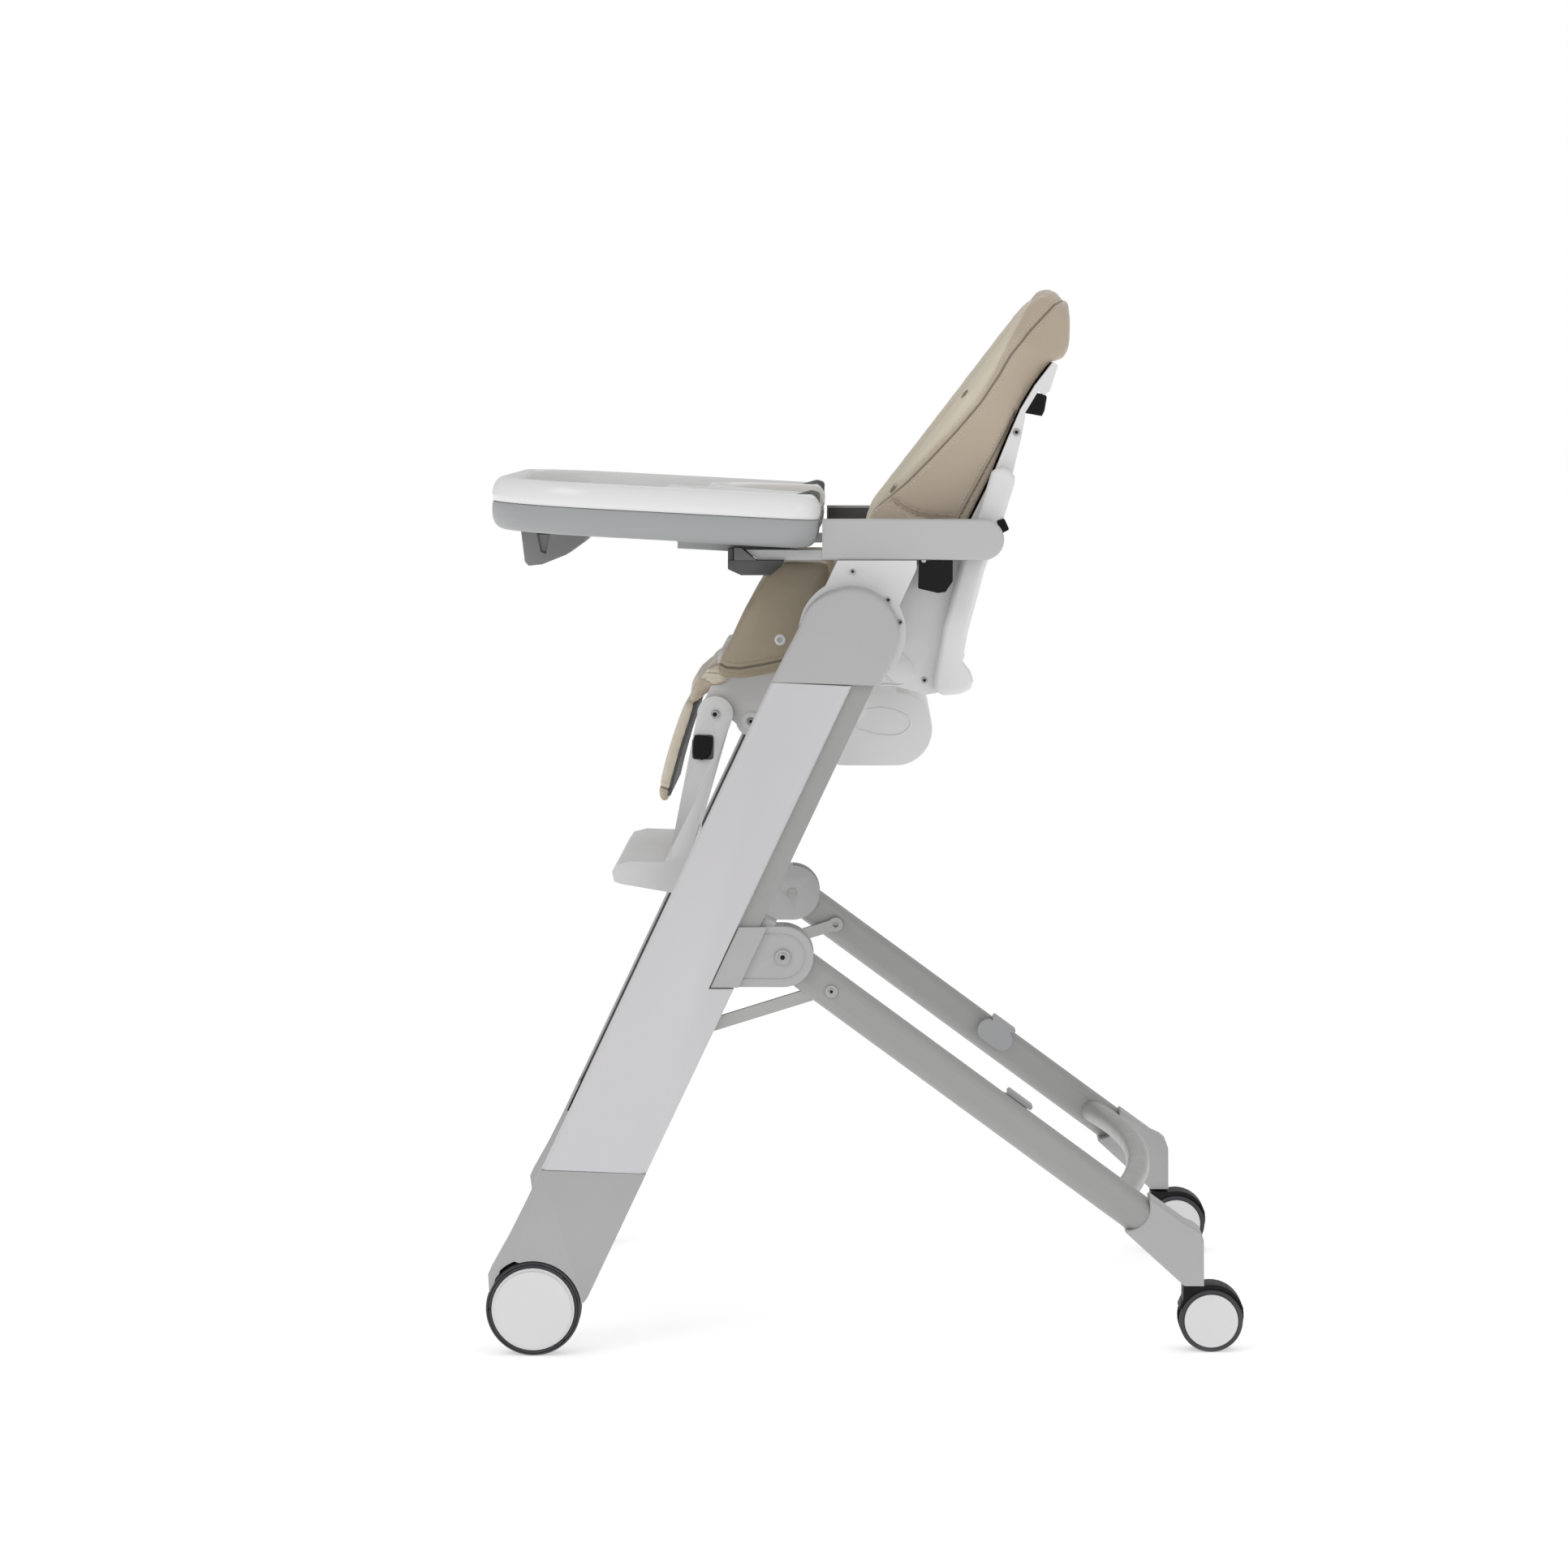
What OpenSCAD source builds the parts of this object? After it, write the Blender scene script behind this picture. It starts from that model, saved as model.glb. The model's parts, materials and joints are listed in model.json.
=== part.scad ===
// Folding baby high chair: leaning front legs, a rear frame that folds up to them, a seat
// carrier that slides on the front legs, a reclining back, a leg rest and a tray.
// Origin: on the floor, midway between the tray's front and the castors' back, mid-width.
// +Z is up, -X is the way the child faces, and -Y is the child's left.
// Side parts are drawn on the +Y side and mirrored for the left.

/* [Front legs] */
// Height of the seat's top cap above the front wheel axle, along the leg
leg_length = 738; // [700:1:760]
// Lean of the front legs from the vertical, in degrees
leg_lean = 25.2; // [24.5:0.1:26]
// Depth of a front leg, seen from the side
leg_depth = 88; // [84:1:92]
// Wall of the leg rail
rail_wall = 4; // [3:0.5:5]

/* [Wheels] */
// Radius of the front wheels
wheel_r = 47; // [44:1:50]
// Distance of the front wheel axle in front of the origin
wheel_front = 329; // [325:1:332]
// Radius of the castor wheels
castor_r = 31.5; // [28:0.5:33]
// Width of one castor wheel
castor_wheel_w = 10; // [8:0.5:11]

/* [Rear frame] */
// Slope of the rear legs below the horizontal, in degrees
rear_slope = 36.3; // [36:0.1:36.6]
// Height of the oval rear leg tube
rear_tube_h = 38; // [34:1:40]
// Width of the oval rear leg tube
rear_tube_w = 22; // [18:1:22]
// Wall of the tubes
tube_wall = 2; // [1.5:0.1:2.5]
// Radius of the hub pins
hub_pin_r = 5; // [4:0.5:6]

/* [Seat] */
// Half the width of the seat cushion
seat_half = 180; // [176:1:181]
// Lean of the back from the vertical, in degrees
back_lean = 37.5; // [37:0.1:38]
// Height of the seat cushion's top above the floor
seat_top = 712; // [708:1:714]
// Radius of the recline pins
recline_pin_r = 6; // [5:0.5:7]

/* [Tray] */
// Half the width of the tray
tray_half = 262; // [258:1:264]
// Length of the tray, front to back
tray_length = 331; // [325:1:331]
// Rise of the tray towards the front, in degrees
tray_tilt = 3; // [2.5:0.1:3]

/* [Hidden] */
$fn = 64;

gap = 0.3;          // between faces that slide past each other
running = 0.05;     // radial clearance of a turning pin
mesh_r = 0.02;      // radial clearance of a pressed pin

// Layers across the width, as distances from the mid-plane
rail_in = 241;      // inner face of the leg rail
rail_out = 283;     // outer face of the leg rail
cover_out = 289;    // outer face of the leg cover
rear_y = 262;       // middle of the rear legs
castor_y = 246;     // middle of the castors
arm_out = 238;      // outer face of the armrest and carrier
frame_in = 184;     // inner face of the backrest arm's plate
strut_y0 = 245.6;   // inner face of the strut
strut_y1 = 250.4;   // outer face of the strut

// Front legs, in leg coordinates: t is to the rear, s is up along the leg
half_depth = leg_depth / 2;
rail_half = half_depth - 3;
rail_bottom = 96;
rail_top = leg_length - 3;
strip_t = 21.5;     // rear edge of the cover beside the open strip
cap_seam_z = 665.5;
slot_bottom_z = 368;
foot_seam_z = 183;
strut_t = 25;
strut_s = 312.5;

// Rear frame
hub_x = -82;
hub_z = 398;
hub_r = 30;
rivet_at = 59.3;    // distance of the strut rivet from the hub pin
rear_tube_len = 456;
foot_start = 436;
cross_at = 412;     // distance of the rear cross tube from the hub pin
cross_r = 12;
cross_bow = 34;     // how far the rear cross tube bows to the rear
stem_x = 326;
castor_x = 343.6;
castor_pitch = 9.2; // from the castor's middle to the middle of a wheel
stem_r = 6;

// Seat
pivot_x = -8;       // recline pivot
pivot_z = 723;
swing_x = -13.7;    // pivot of the seat pan on the backrest arms
swing_z = 635.2;
carrier_wall = 234; // inner face of the seat carrier's outer wall
arm_bottom = 786;
arm_top = 826;
knee_x = -152.6;    // pivot of the leg rest
knee_z = 627.7;
screw_points = [[-14, 775], [21, 747], [33, 725]];     // screws of the seat carrier
tray_x = -46;
tray_z = 826;

// ---- helpers ----

// An outline in X and Z, extruded from y0 to y1
module plate(y0, y1)
    translate([0, y1, 0]) rotate([90, 0, 0]) linear_extrude(y1 - y0) children();

// A pin along Y at (x, z), from y0 to y1
module pin(x, z, y0, y1, r)
    translate([x, y1, z]) rotate([90, 0, 0]) cylinder(h = y1 - y0, r = r);

// Drawn on the +Y side, and kept there or moved to the other side
module right_side() children();
module left_side() mirror([0, 1, 0]) children();
module both_sides() { right_side() children(); left_side() children(); }

// A round-ended bar between two points
module bar(a, b, r) {
    d = b - a;
    n = [-d[1], d[0]] * r / norm(d);
    translate(a) circle(r);
    translate(b) circle(r);
    polygon([a + n, b + n, b - n, a - n]);
}

// A rectangle with round corners
module round_rect(x0, y0, x1, y1, r) {
    for (x = [x0 + r, x1 - r], y = [y0 + r, y1 - r]) translate([x, y]) circle(r);
    translate([x0 + r, y0]) square([x1 - x0 - 2 * r, y1 - y0]);
    translate([x0, y0 + r]) square([x1 - x0, y1 - y0 - 2 * r]);
}

// Leg coordinates: local x is t, local z is s
module in_leg()
    translate([-wheel_front, 0, wheel_r]) rotate([0, leg_lean, 0]) children();

// X of the line t at height z
function leg_x(t, z) =
    -wheel_front + tan(leg_lean) * (z - wheel_r + t * sin(leg_lean)) + t * cos(leg_lean);

// Rear leg coordinates: local x runs down the tube from the hub pin
module in_rear()
    translate([hub_x, 0, hub_z]) rotate([0, rear_slope, 0]) children();

// Back coordinates: local z runs up the back from the recline pivot, local x to the rear
module in_back()
    translate([pivot_x, 0, pivot_z]) rotate([0, back_lean, 0]) children();

// Tray coordinates: local x = 0 is the tray's rear edge
module in_tray()
    translate([tray_x, 0, tray_z]) rotate([0, tray_tilt, 0]) children();

// Everything between two heights
module between(z0, z1)
    intersection() {
        children();
        translate([-500, -400, z0]) cube([1000, 800, z1 - z0]);
    }

// ---- front legs ----

module front_leg() color("silver") in_leg() difference() {
    plate(rail_in, rail_out)
        translate([-rail_half, rail_bottom]) square([2 * rail_half, rail_top - rail_bottom]);
    plate(rail_in + rail_wall, rail_out - rail_wall)
        translate([-rail_half + rail_wall, rail_bottom - 1]) square([2 * rail_half, rail_top]);
    plate(rail_in - 1, rail_in + rail_wall + 1) round_rect(-26, 272, -10, 706, 7.9);
    pin(strut_t, strut_s, rail_in - 1, rail_out + 1, 4 + mesh_r);
}

module leg_cover() color("gainsboro") difference() {
    between(foot_seam_z, cap_seam_z) in_leg() {
        plate(rail_out + gap, cover_out)
            translate([-half_depth, 60]) square([leg_depth, leg_length]);
        plate(262, rail_out + gap)
            translate([-half_depth, 60]) square([3 - gap, leg_length]);
        plate(274, rail_out + gap)
            translate([rail_half + gap, 60]) square([3 - gap, leg_length]);
    }
    between(slot_bottom_z - 1, cap_seam_z + 1) in_leg()
        plate(270, cover_out + 1) translate([strip_t, 60]) square([60, leg_length]);
}

module leg_top_cap() color("darkgray") difference() {
    between(cap_seam_z + gap, 800) in_leg() plate(rail_in, cover_out) {
        translate([0.5, leg_length]) circle(46);
        translate([-half_depth, 600]) square([leg_depth + 2, leg_length - 600]);
    }
    in_leg() plate(rail_in - 1, rail_out + gap)
        translate([-rail_half - gap, 500]) square([2 * rail_half + 2 * gap, rail_top - 500 + gap]);
    in_leg() plate(rail_in + 4, rail_out) translate([0.5, leg_length]) circle(40);
}

module foot_outline() polygon([
    [-half_depth, 170], [-half_depth, 88], [-50, 48], [-55, 12], [-40, -4],
    [36, -4], [half_depth, 34], [half_depth, 170]
]);

module leg_foot() color("darkgray") difference() {
    union() {
        between(0, foot_seam_z - gap) in_leg() plate(rail_in, cover_out) foot_outline();
        in_leg() plate(rail_in, 259) circle(24);
    }
    in_leg() plate(rail_in + 4, rail_out + gap)
        translate([-rail_half - gap, rail_bottom - gap]) square([2 * (rail_half + gap), 200]);
    in_leg() plate(rail_in - 1, rail_in + 5)
        translate([-rail_half - gap, rail_bottom - gap]) square([2 * (rail_half + gap), 200]);
    pin(-wheel_front, wheel_r, 259.4, cover_out + 1, wheel_r + 3);
    pin(-wheel_front, wheel_r, rail_in - 1, 260, 5 + mesh_r);
}

module front_cross_tube() color("silver") in_leg() difference() {
    pin(0, 112, -rail_in, rail_in, 12.5);
    pin(0, 112, -rail_in - 1, rail_in + 1, 12.5 - tube_wall);
}

module front_axles() color("dimgray") both_sides()
    pin(-wheel_front, wheel_r, rail_in + 1, 288, 5);

module strut_pins() color("dimgray") both_sides() in_leg()
    pin(strut_t, strut_s, rail_in - 1, rail_out, 4);

module front_tyre() color("dimgray") difference() {
    pin(-wheel_front, wheel_r, 262, 290, wheel_r);
    pin(-wheel_front, wheel_r, 261, 291, 41);
}

module front_hub() color("whitesmoke") difference() {
    union() {
        pin(-wheel_front, wheel_r, 262, 291, 41 - mesh_r);
        pin(-wheel_front, wheel_r, 290, 293, 38);
    }
    pin(-wheel_front, wheel_r, 261, 288.5, 5 + running);
    difference() {
        pin(-wheel_front, wheel_r, 261, 286, 36);
        pin(-wheel_front, wheel_r, 260, 287, 11);
    }
}

// ---- fold: sliders, rear legs, struts ----

module hub_outline(front_t) {
    z0 = hub_z - hub_r;
    z1 = hub_z + hub_r;
    translate([hub_x, hub_z]) circle(hub_r);
    polygon([[leg_x(front_t, z0), z0], [hub_x, z0], [hub_x, z1], [leg_x(front_t, z1), z1]]);
}

module fold_slider() color("darkgray") difference() {
    union() {
        in_leg() plate(245.4, 278.6) translate([6, 366]) square([34.5, 96]);
        in_leg() plate(246, 279) translate([40, 382]) square([14, 68]);
        plate(245.4, 250.4) hub_outline(44.5);
        plate(273.6, 282) hub_outline(44.5);
        plate(246, 282) intersection() {
            hub_outline(44.5);
            translate([-200, hub_z + hub_r - 7]) square([200 + hub_x, 7]);
        }
        between(slot_bottom_z, hub_z + hub_r) in_leg() {
            plate(rail_out + gap + 0.1, 287) translate([strip_t + 1, 300]) square([25, 250]);
            plate(273.6, 287) translate([rail_half + gap, 300]) square([5.5, 250]);
        }
    }
    pin(hub_x, hub_z, 240, 290, hub_pin_r + mesh_r);
    in_leg() plate(250, 274) translate([12, 372]) square([22, 84]);
}

module hub_pins() color("dimgray") both_sides() {
    pin(hub_x, hub_z, 244.6, 282, hub_pin_r);
    pin(hub_x, hub_z, 282, 284.2, hub_pin_r + 2.5);
}

// The oval tube's section, extruded down the tube
module oval_tube(w, h, x0, x1)
    translate([x0, rear_y, 0]) rotate([90, 0, 90]) linear_extrude(x1 - x0) {
        for (z = [-1, 1]) translate([0, z * (h - w) / 2]) circle(w / 2);
        translate([-w / 2, -(h - w) / 2]) square([w, h - w]);
    }

module rear_leg() color("darkgray") in_rear() difference() {
    union() {
        pin(0, 0, rear_y - rear_tube_w / 2, rear_y + rear_tube_w / 2, rear_tube_h / 2);
        oval_tube(rear_tube_w, rear_tube_h, 0, rear_tube_len);
    }
    oval_tube(rear_tube_w - 2 * tube_wall, rear_tube_h - 2 * tube_wall, 26, rear_tube_len + 1);
    pin(0, 0, 240, 290, hub_pin_r + running);
    pin(rivet_at, 0, 240, 290, 4 + mesh_r);
}

module rear_cross_tube() color("darkgray") intersection() {
    leg_face = rear_y - rear_tube_w / 2 - 0.1;
    half = leg_face + 4;
    bow_r = (half * half + cross_bow * cross_bow) / (2 * cross_bow);
    sweep = asin(half / bow_r);
    in_rear() translate([cross_at, 0, 0]) rotate([0, -rear_slope, 0])
        translate([cross_bow - bow_r, 0, 0]) rotate([0, 0, -sweep])
            rotate_extrude(angle = 2 * sweep, $fn = 256) translate([bow_r, 0])
                difference() { circle(cross_r); circle(cross_r - tube_wall); }
    translate([200, -leg_face, 100]) cube([200, 2 * leg_face, 100]);
}

module rear_foot() color("gray") difference() {
    along = [cos(rear_slope), -sin(rear_slope)];
    up = [sin(rear_slope), cos(rear_slope)];
    start = [hub_x, hub_z] + foot_start * along;
    edge = rear_tube_h / 2 + 2;
    plate(castor_y - 10, rear_y + 13) difference() {
        polygon([start + edge * up, [317, 131.3], [326, 127.3], [332, 122.5], [334.5, 115],
                 [335, 69.5], [315.5, 69.5], start - edge * up]);
        translate([hub_x, hub_z] + (foot_start - 14) * along) circle(23);
    }
    in_rear() oval_tube(rear_tube_w + 0.1, rear_tube_h + 0.1, 400, rear_tube_len + 0.1);
    translate([stem_x, castor_y, 60]) cylinder(h = 42, r = stem_r + running);
}

module tray_hooks() color("gray") both_sides() in_rear() {
    plate(240, rear_y - rear_tube_w / 2) {
        bar([265, 6], [283, 6], 12);
        translate([262, 6]) square([24, 16]);
    }
    plate(240, 258) round_rect(260, 19.2, 290, 24, 2);
}

module strut_rivets() color("dimgray") both_sides() in_rear() {
    pin(rivet_at, 0, 251, 273, 4);
    pin(rivet_at, 0, 273, 275, 6);
}

module fold_strut() color("dimgray") {
    a = [-wheel_front + strut_s * sin(leg_lean) + strut_t * cos(leg_lean),
         wheel_r + strut_s * cos(leg_lean) - strut_t * sin(leg_lean)];
    b = [hub_x + rivet_at * cos(rear_slope), hub_z - rivet_at * sin(rear_slope)];
    reach = norm(b - a);
    rise = atan2(b[1] - a[1], b[0] - a[0]);
    translate([a[0], 0, a[1]]) rotate([0, -rise, 0]) difference() {
        union() {
            pin(0, 0, strut_y0, strut_y1, 8);
            pin(reach, 0, strut_y0, strut_y1, 8);
            plate(strut_y0, strut_y1) translate([0, -6.5]) square([reach, 13]);
        }
        pin(0, 0, 240, 260, 4 + running);
        pin(reach, 0, 240, 260, 3);
    }
}

// ---- castors ----

module castor_hood() color("dimgray") difference() {
    union() {
        plate(castor_y - 14.5, castor_y + 14.5) {
            translate([castor_x, castor_r + 3.5]) circle(castor_r + 1.5);
            translate([315.5, castor_r + 14]) square([20, 22]);
        }
        translate([stem_x, castor_y, 60]) cylinder(h = 38, r = stem_r);
    }
    for (side = [-1, 1]) translate([0, castor_y + castor_pitch * side, 0]) {
        pin(castor_x, castor_r, -6, 6, castor_r + 0.8);
        translate([castor_x - 60, -6, -1]) cube([120, 12, castor_r + 13]);
    }
    pin(castor_x, castor_r, castor_y - 20, castor_y + 20, 3 + running);
}

module castor_tyres() color("black") for (side = [-1, 1])
    translate([0, castor_y + castor_pitch * side, 0]) difference() {
        pin(castor_x, castor_r, -castor_wheel_w / 2, castor_wheel_w / 2, castor_r);
        pin(castor_x, castor_r, -castor_wheel_w, castor_wheel_w, castor_r - 5);
    }

module castor_hubs() color("whitesmoke") {
    for (side = [-1, 1]) translate([0, castor_y + (castor_pitch + 0.5) * side, 0])
        pin(castor_x, castor_r, -castor_wheel_w / 2 - 0.5, castor_wheel_w / 2 + 0.5,
            castor_r - 5 - mesh_r);
    pin(castor_x, castor_r, castor_y - 6, castor_y + 6, 3);
}

// ---- seat carrier ----

module seat_carrier() color("whitesmoke") {
    difference() {
        between(0, arm_bottom - gap) in_leg() {
            plate(213, arm_out) translate([-43, 560]) square([74, 290]);
            plate(230, arm_out) translate([0.5, leg_length]) circle(53);
        }
        between(0, arm_bottom - 10) in_leg() plate(212, carrier_wall)
            translate([-39, 585]) square([66, 270]);
        plate(218, arm_out + 1) translate([49, 745]) square([50, 60]);
        for (at = screw_points) pin(at[0], at[1], 212, arm_out + 1, 2.5 + mesh_r);
    }
    in_leg() plate(217, rail_in + 5) round_rect(-25, 606, -11, 700, 6.9);
    in_leg() plate(rail_in + rail_wall + 0.4, rail_out - rail_wall - 0.4)
        translate([-36.5, 600]) square([40, 100]);
    pin(pivot_x, pivot_z, frame_in - 2, carrier_wall + 1, recline_pin_r);
    pin(pivot_x, pivot_z, frame_in + 8, carrier_wall + 1, recline_pin_r + 8);
}

module carrier_tie_tube() color("silver") in_leg() difference() {
    pin(-8, 573, -213, 213, 11);
    pin(-8, 573, -214, 214, 11 - tube_wall);
}

module arm_outline(inset) {
    translate([tray_x + 2 + inset, arm_bottom + inset]) square([159 - inset, 40 - 2 * inset]);
    translate([115, (arm_bottom + arm_top) / 2]) circle(20 - inset);
}

module armrest() color("darkgray") {
    armrest_body();
    pin(56, arm_bottom, 217.5, 237, 2.5);
}

module armrest_body() difference() {
    union() {
        plate(217, arm_out) arm_outline(0);
        plate(213.6, 235) translate([-131, arm_bottom]) square([131 + tray_x + 3, 10]);
    }
    plate(218, arm_out - 2) translate([43, arm_bottom - 1]) square([48, 14]);
    plate(220, arm_out - 3) translate([-36, arm_bottom + 16]) square([140, 20]);
}

module armrest_liners() color("dimgray") both_sides() {
    plate(210.4, 216.8) arm_outline(2);
    plate(205, arm_out) polygon([
        [-137, arm_bottom - gap], [-137, 777], [-124, 771], [-96, 771], [-60, arm_bottom - 5],
        [-60, arm_bottom - gap]
    ]);
    plate(214, arm_out - 3) translate([-137, arm_bottom - 6]) square([5.7, 17]);
}

module carrier_screws() color("gray") both_sides()
    for (at = screw_points) pin(at[0], at[1], carrier_wall - 6, arm_out + 1.5, 2.5);

module height_lever() color("black") difference() {
    plate(219, 235) polygon([
        [51.5, 790], [83, 790], [84.6, 785], [84.6, 765], [77.5, 754.5], [70, 753.5],
        [50.5, 758]
    ]);
    pin(56, 786, 210, 240, 2.5 + running);
}

// ---- backrest ----

module backrest_arm() color("whitesmoke") difference() {
    union() {
        plate(frame_in, frame_in + 7.5) {
            translate([pivot_x, pivot_z]) circle(24);
            polygon([[-31.9, 720], [-27.7, 633.9], [-22, 624], [-5.4, 624], [0.3, 636.5],
                     [3, 672], [16, 662], [60, 650], [86, 655], [100, 720], [108, 792],
                     [12, 792], [-20, 743]]);
        }
        plate(frame_in + 7, frame_in + 23) polygon([
            [122, 867.6], [110.2, 828], [93.1, 782.8], [75.8, 717.7], [66.7, 666.2], [67, 656],
            [76, 650], [92, 651], [103, 656], [106, 665], [103, 674], [95.2, 684],
            [100.2, 712.3], [116.9, 775.2], [133.8, 820], [146, 860.4], [146.3, 867],
            [142, 873], [135, 876.5], [128, 875.5], [123.5, 872]
        ]);
        plate(frame_in + 7, frame_in + 9.5) bar([24, 684], [34, 674], 13);
    }
    pin(pivot_x, pivot_z, frame_in - 5, frame_in + 20, recline_pin_r + running);
    pin(swing_x, swing_z, frame_in - 5, frame_in + 20, 5 + running);
}

// Rear line of the pad in back coordinates, from the top down
pad_rear = [[5, 332], [3, 327], [-4.4, 323], [-4.6, 292], [-1.4, 264], [6.2, 234], [17.8, 192],
            [26.3, 148], [36, 100], [38, 75], [29, 24]];
shell_top = 321.5;
// Rear line of the shell's side rims, from the bottom up
rim_rear = [[36, 26], [48, 75], [52, 120], [50, 166], [37, 198], [17, 242], [7.5, 261]];

module backrest_shell() color("whitesmoke") in_back() {
    front = [for (i = [3 : len(pad_rear) - 1]) pad_rear[i] + [0.6, 0]];
    plate(-166, 166) polygon([
        [-3.8, shell_top], each front,
        for (i = [len(front) - 1 : -1 : 0]) front[i] + [5.5, 0], [1.7, shell_top]
    ]);
    both_sides() plate(165, frame_in) {
        polygon([each front, each rim_rear, front[1] + [5.5, 0], front[0] + [5.5, 0]]);
        polygon([[-3.9, shell_top], [-4, 290], [9, 290], [11, 296], [1.7, shell_top]]);
    }
}

module backrest_pad() color("tan") intersection() {
    in_back() {
        plate(-seat_half, seat_half)
            polygon([[-18, 24], [-22, 300], [-50, 352], [-56, 378], [-44, 385], [-24, 379],
                     each pad_rear]);
        both_sides() plate(seat_half - 42, seat_half)
            polygon([[-5, 24], [-30, 42], [-52, 70], [-64, 96], [-64.6, 352], [-56, 378],
                     [-44, 385], [-24, 379], each pad_rear]);
    }
    in_back() translate([-100, 0, 0]) rotate([90, 0, 90]) linear_extrude(200)
        polygon([[-seat_half, 0], [seat_half, 0], [seat_half, 250], [165, 320], [130, 372],
                 [90, 386], [-90, 386], [-130, 372], [-165, 320], [-seat_half, 250]]);
}

module backrest_screws() color("gray") in_back() both_sides()
    for (at = [[9.5, 244], [25, 204]]) pin(at[0], at[1], frame_in, frame_in + 2, 3.5);

module shoulder_straps() color("dimgray") in_back() both_sides()
    plate(34, 64) polygon([[-24.6, 60], [-25.2, 240], [-22.8, 240], [-21.4, 60]]);

module recline_handle() color("black") in_back() plate(-70, 70)
    polygon([[4.8, 270], [6.4, 264.8], [24.3, 274], [23, 280], [16.6, 292], [13.9, 294.1],
             [2.9, 288]]);

// ---- seat pan ----

module seat_pan() color("whitesmoke") {
    plate(-148, 148) round_rect(-150, seat_top - 36, -22, seat_top - 22.5, 4);
    difference() {
        plate(-147.6, 147.6) {
            bar([-22, 612], [29, 612], 37);
            polygon([[-59, 612], [-59, seat_top - 30], [-24, seat_top - 30], [20, 660], [66, 612]]);
        }
        plate(-144.6, 144.6) {
            bar([-22, 612], [29, 612], 34);
            polygon([[-56, 612], [-56, seat_top - 20], [-26, seat_top - 20], [18, 657], [63, 612]]);
        }
        translate([-80, -120, 600]) cube([30, 240, 60]);
    }
    both_sides() difference() {
        union() {
            plate(124, 138) {
                polygon([[-146, seat_top - 34], [-56, seat_top - 34], [-72, 640], [-110, 607],
                         [-124, 610], [-146, 628]]);
                translate([knee_x, knee_z]) circle(16);
                translate([-117, 619]) circle(15);
                polygon([[-168, 632], [-160, seat_top - 34], [-140, seat_top - 34], [-140, 620]]);
            }
            plate(124, 142) translate([-117, 619]) circle(9);
            pin(knee_x, knee_z, 124, 162, 5);
            plate(146, 182) translate([swing_x, swing_z]) circle(9);
            pin(swing_x, swing_z, 180, 190, 5);
        }
        plate(130, 150) translate([-117, 619]) circle(4);
    }
}

module seat_cushion() color("tan") {
    plate(-148, 148) round_rect(-158, seat_top - 22, -27, seat_top, 8);
    both_sides() plate(148, seat_half) polygon([
        [-100, 766], [-112, 752], [-146, 682], [-142, 668], [-126, 664], [-34, 664],
        [-34, 700], [-40, 735], [-52, 766]
    ]);
}

module crotch_strap() color("dimgray") plate(-16, 16)
    polygon([[-128, seat_top + 0.4], [-96, seat_top + 0.4], [-88, seat_top + 22],
             [-92, seat_top + 24], [-99, seat_top + 4], [-128, seat_top + 3.4]]);

module harness_buckle() color("black") translate([-88, 0, seat_top + 24]) rotate([0, 20, 0])
    plate(-24, 24) round_rect(-6, 0, 7, 40, 5);

// ---- leg rest ----

module leg_rest_frame() color("whitesmoke") {
    both_sides() difference() {
        plate(142, 160) {
            translate([knee_x, knee_z]) circle(18);
            polygon([[-170.5, 627], [-134.6, 627], [-150, 585], [-178, 486], [-197, 492]]);
            bar([-187, 495], [-188, 468], 9);
        }
        pin(knee_x, knee_z, 140, 170, 5 + running);
        plate(150, 161) round_rect(-175.5, 582, -154, 607, 3);
    }
    difference() {
        plate(-160, 160) polygon([
            [-197, 484], [-204, 477.5], [-238, 478.5], [-252, 475], [-257, 468], [-255, 458],
            [-248, 455.5], [-196, 446.5], [-181, 448], [-179, 484]
        ]);
        plate(-156, 156) polygon([
            [-200, 473.5], [-236, 474.5], [-251, 467], [-246, 460], [-199, 451.5]
        ]);
        translate([-230, -110, 440]) cube([22, 220, 30]);
    }
}

module calf_pad() color("tan") plate(-122, 122)
    polygon([[-181, 640], [-192, 610], [-207, 560], [-212, 537], [-204, 533], [-199, 540],
             [-180, 606], [-170, 640]]);

module leg_rest_button() color("black") plate(153.5, 163)
    round_rect(-175.2, 582.3, -154.3, 606.7, 3);

// ---- tray ----

module tray_outline(inset) {
    x0 = -tray_length + inset;
    x1 = -inset;
    w = tray_half - inset;
    front_r = 112 - inset;
    rear_r = 34 - min(inset, 26);
    difference() {
        union() {
            for (side = [-1, 1]) {
                translate([x0 + front_r, side * (w - front_r)]) circle(front_r);
                translate([x1 - rear_r, side * (w - rear_r)]) circle(rear_r);
            }
            translate([x0 + front_r, -w]) square([x1 - rear_r - x0 - front_r, 2 * w]);
            translate([x0, -(w - front_r)]) square([front_r + 1, 2 * (w - front_r)]);
            translate([x1 - rear_r - 1, -(w - rear_r)]) square([rear_r + 1, 2 * (w - rear_r)]);
        }
        translate([62, 0]) circle(168 + inset, $fn = 128);
    }
}

module tray_base() color("darkgray") in_tray() {
    difference() {
        translate([0, 0, -28]) linear_extrude(27) tray_outline(4);
        translate([0, 0, -29]) linear_extrude(25) tray_outline(7);
    }
    both_sides() {
        for (rail = [[208.5, 34], [236.3, 26.5]])
            translate([-140, rail[0], -3 - rail[1]]) cube([120, 3.4, rail[1]]);
        translate([-108, 140, -38]) cylinder(h = 35, r = 5);
        plate(205.5, 221.5) polygon([[-44, -2], [-44, 6], [-30, 20], [-10, 27], [-3, 24],
                                     [-3, -2]]);
    }
}

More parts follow.
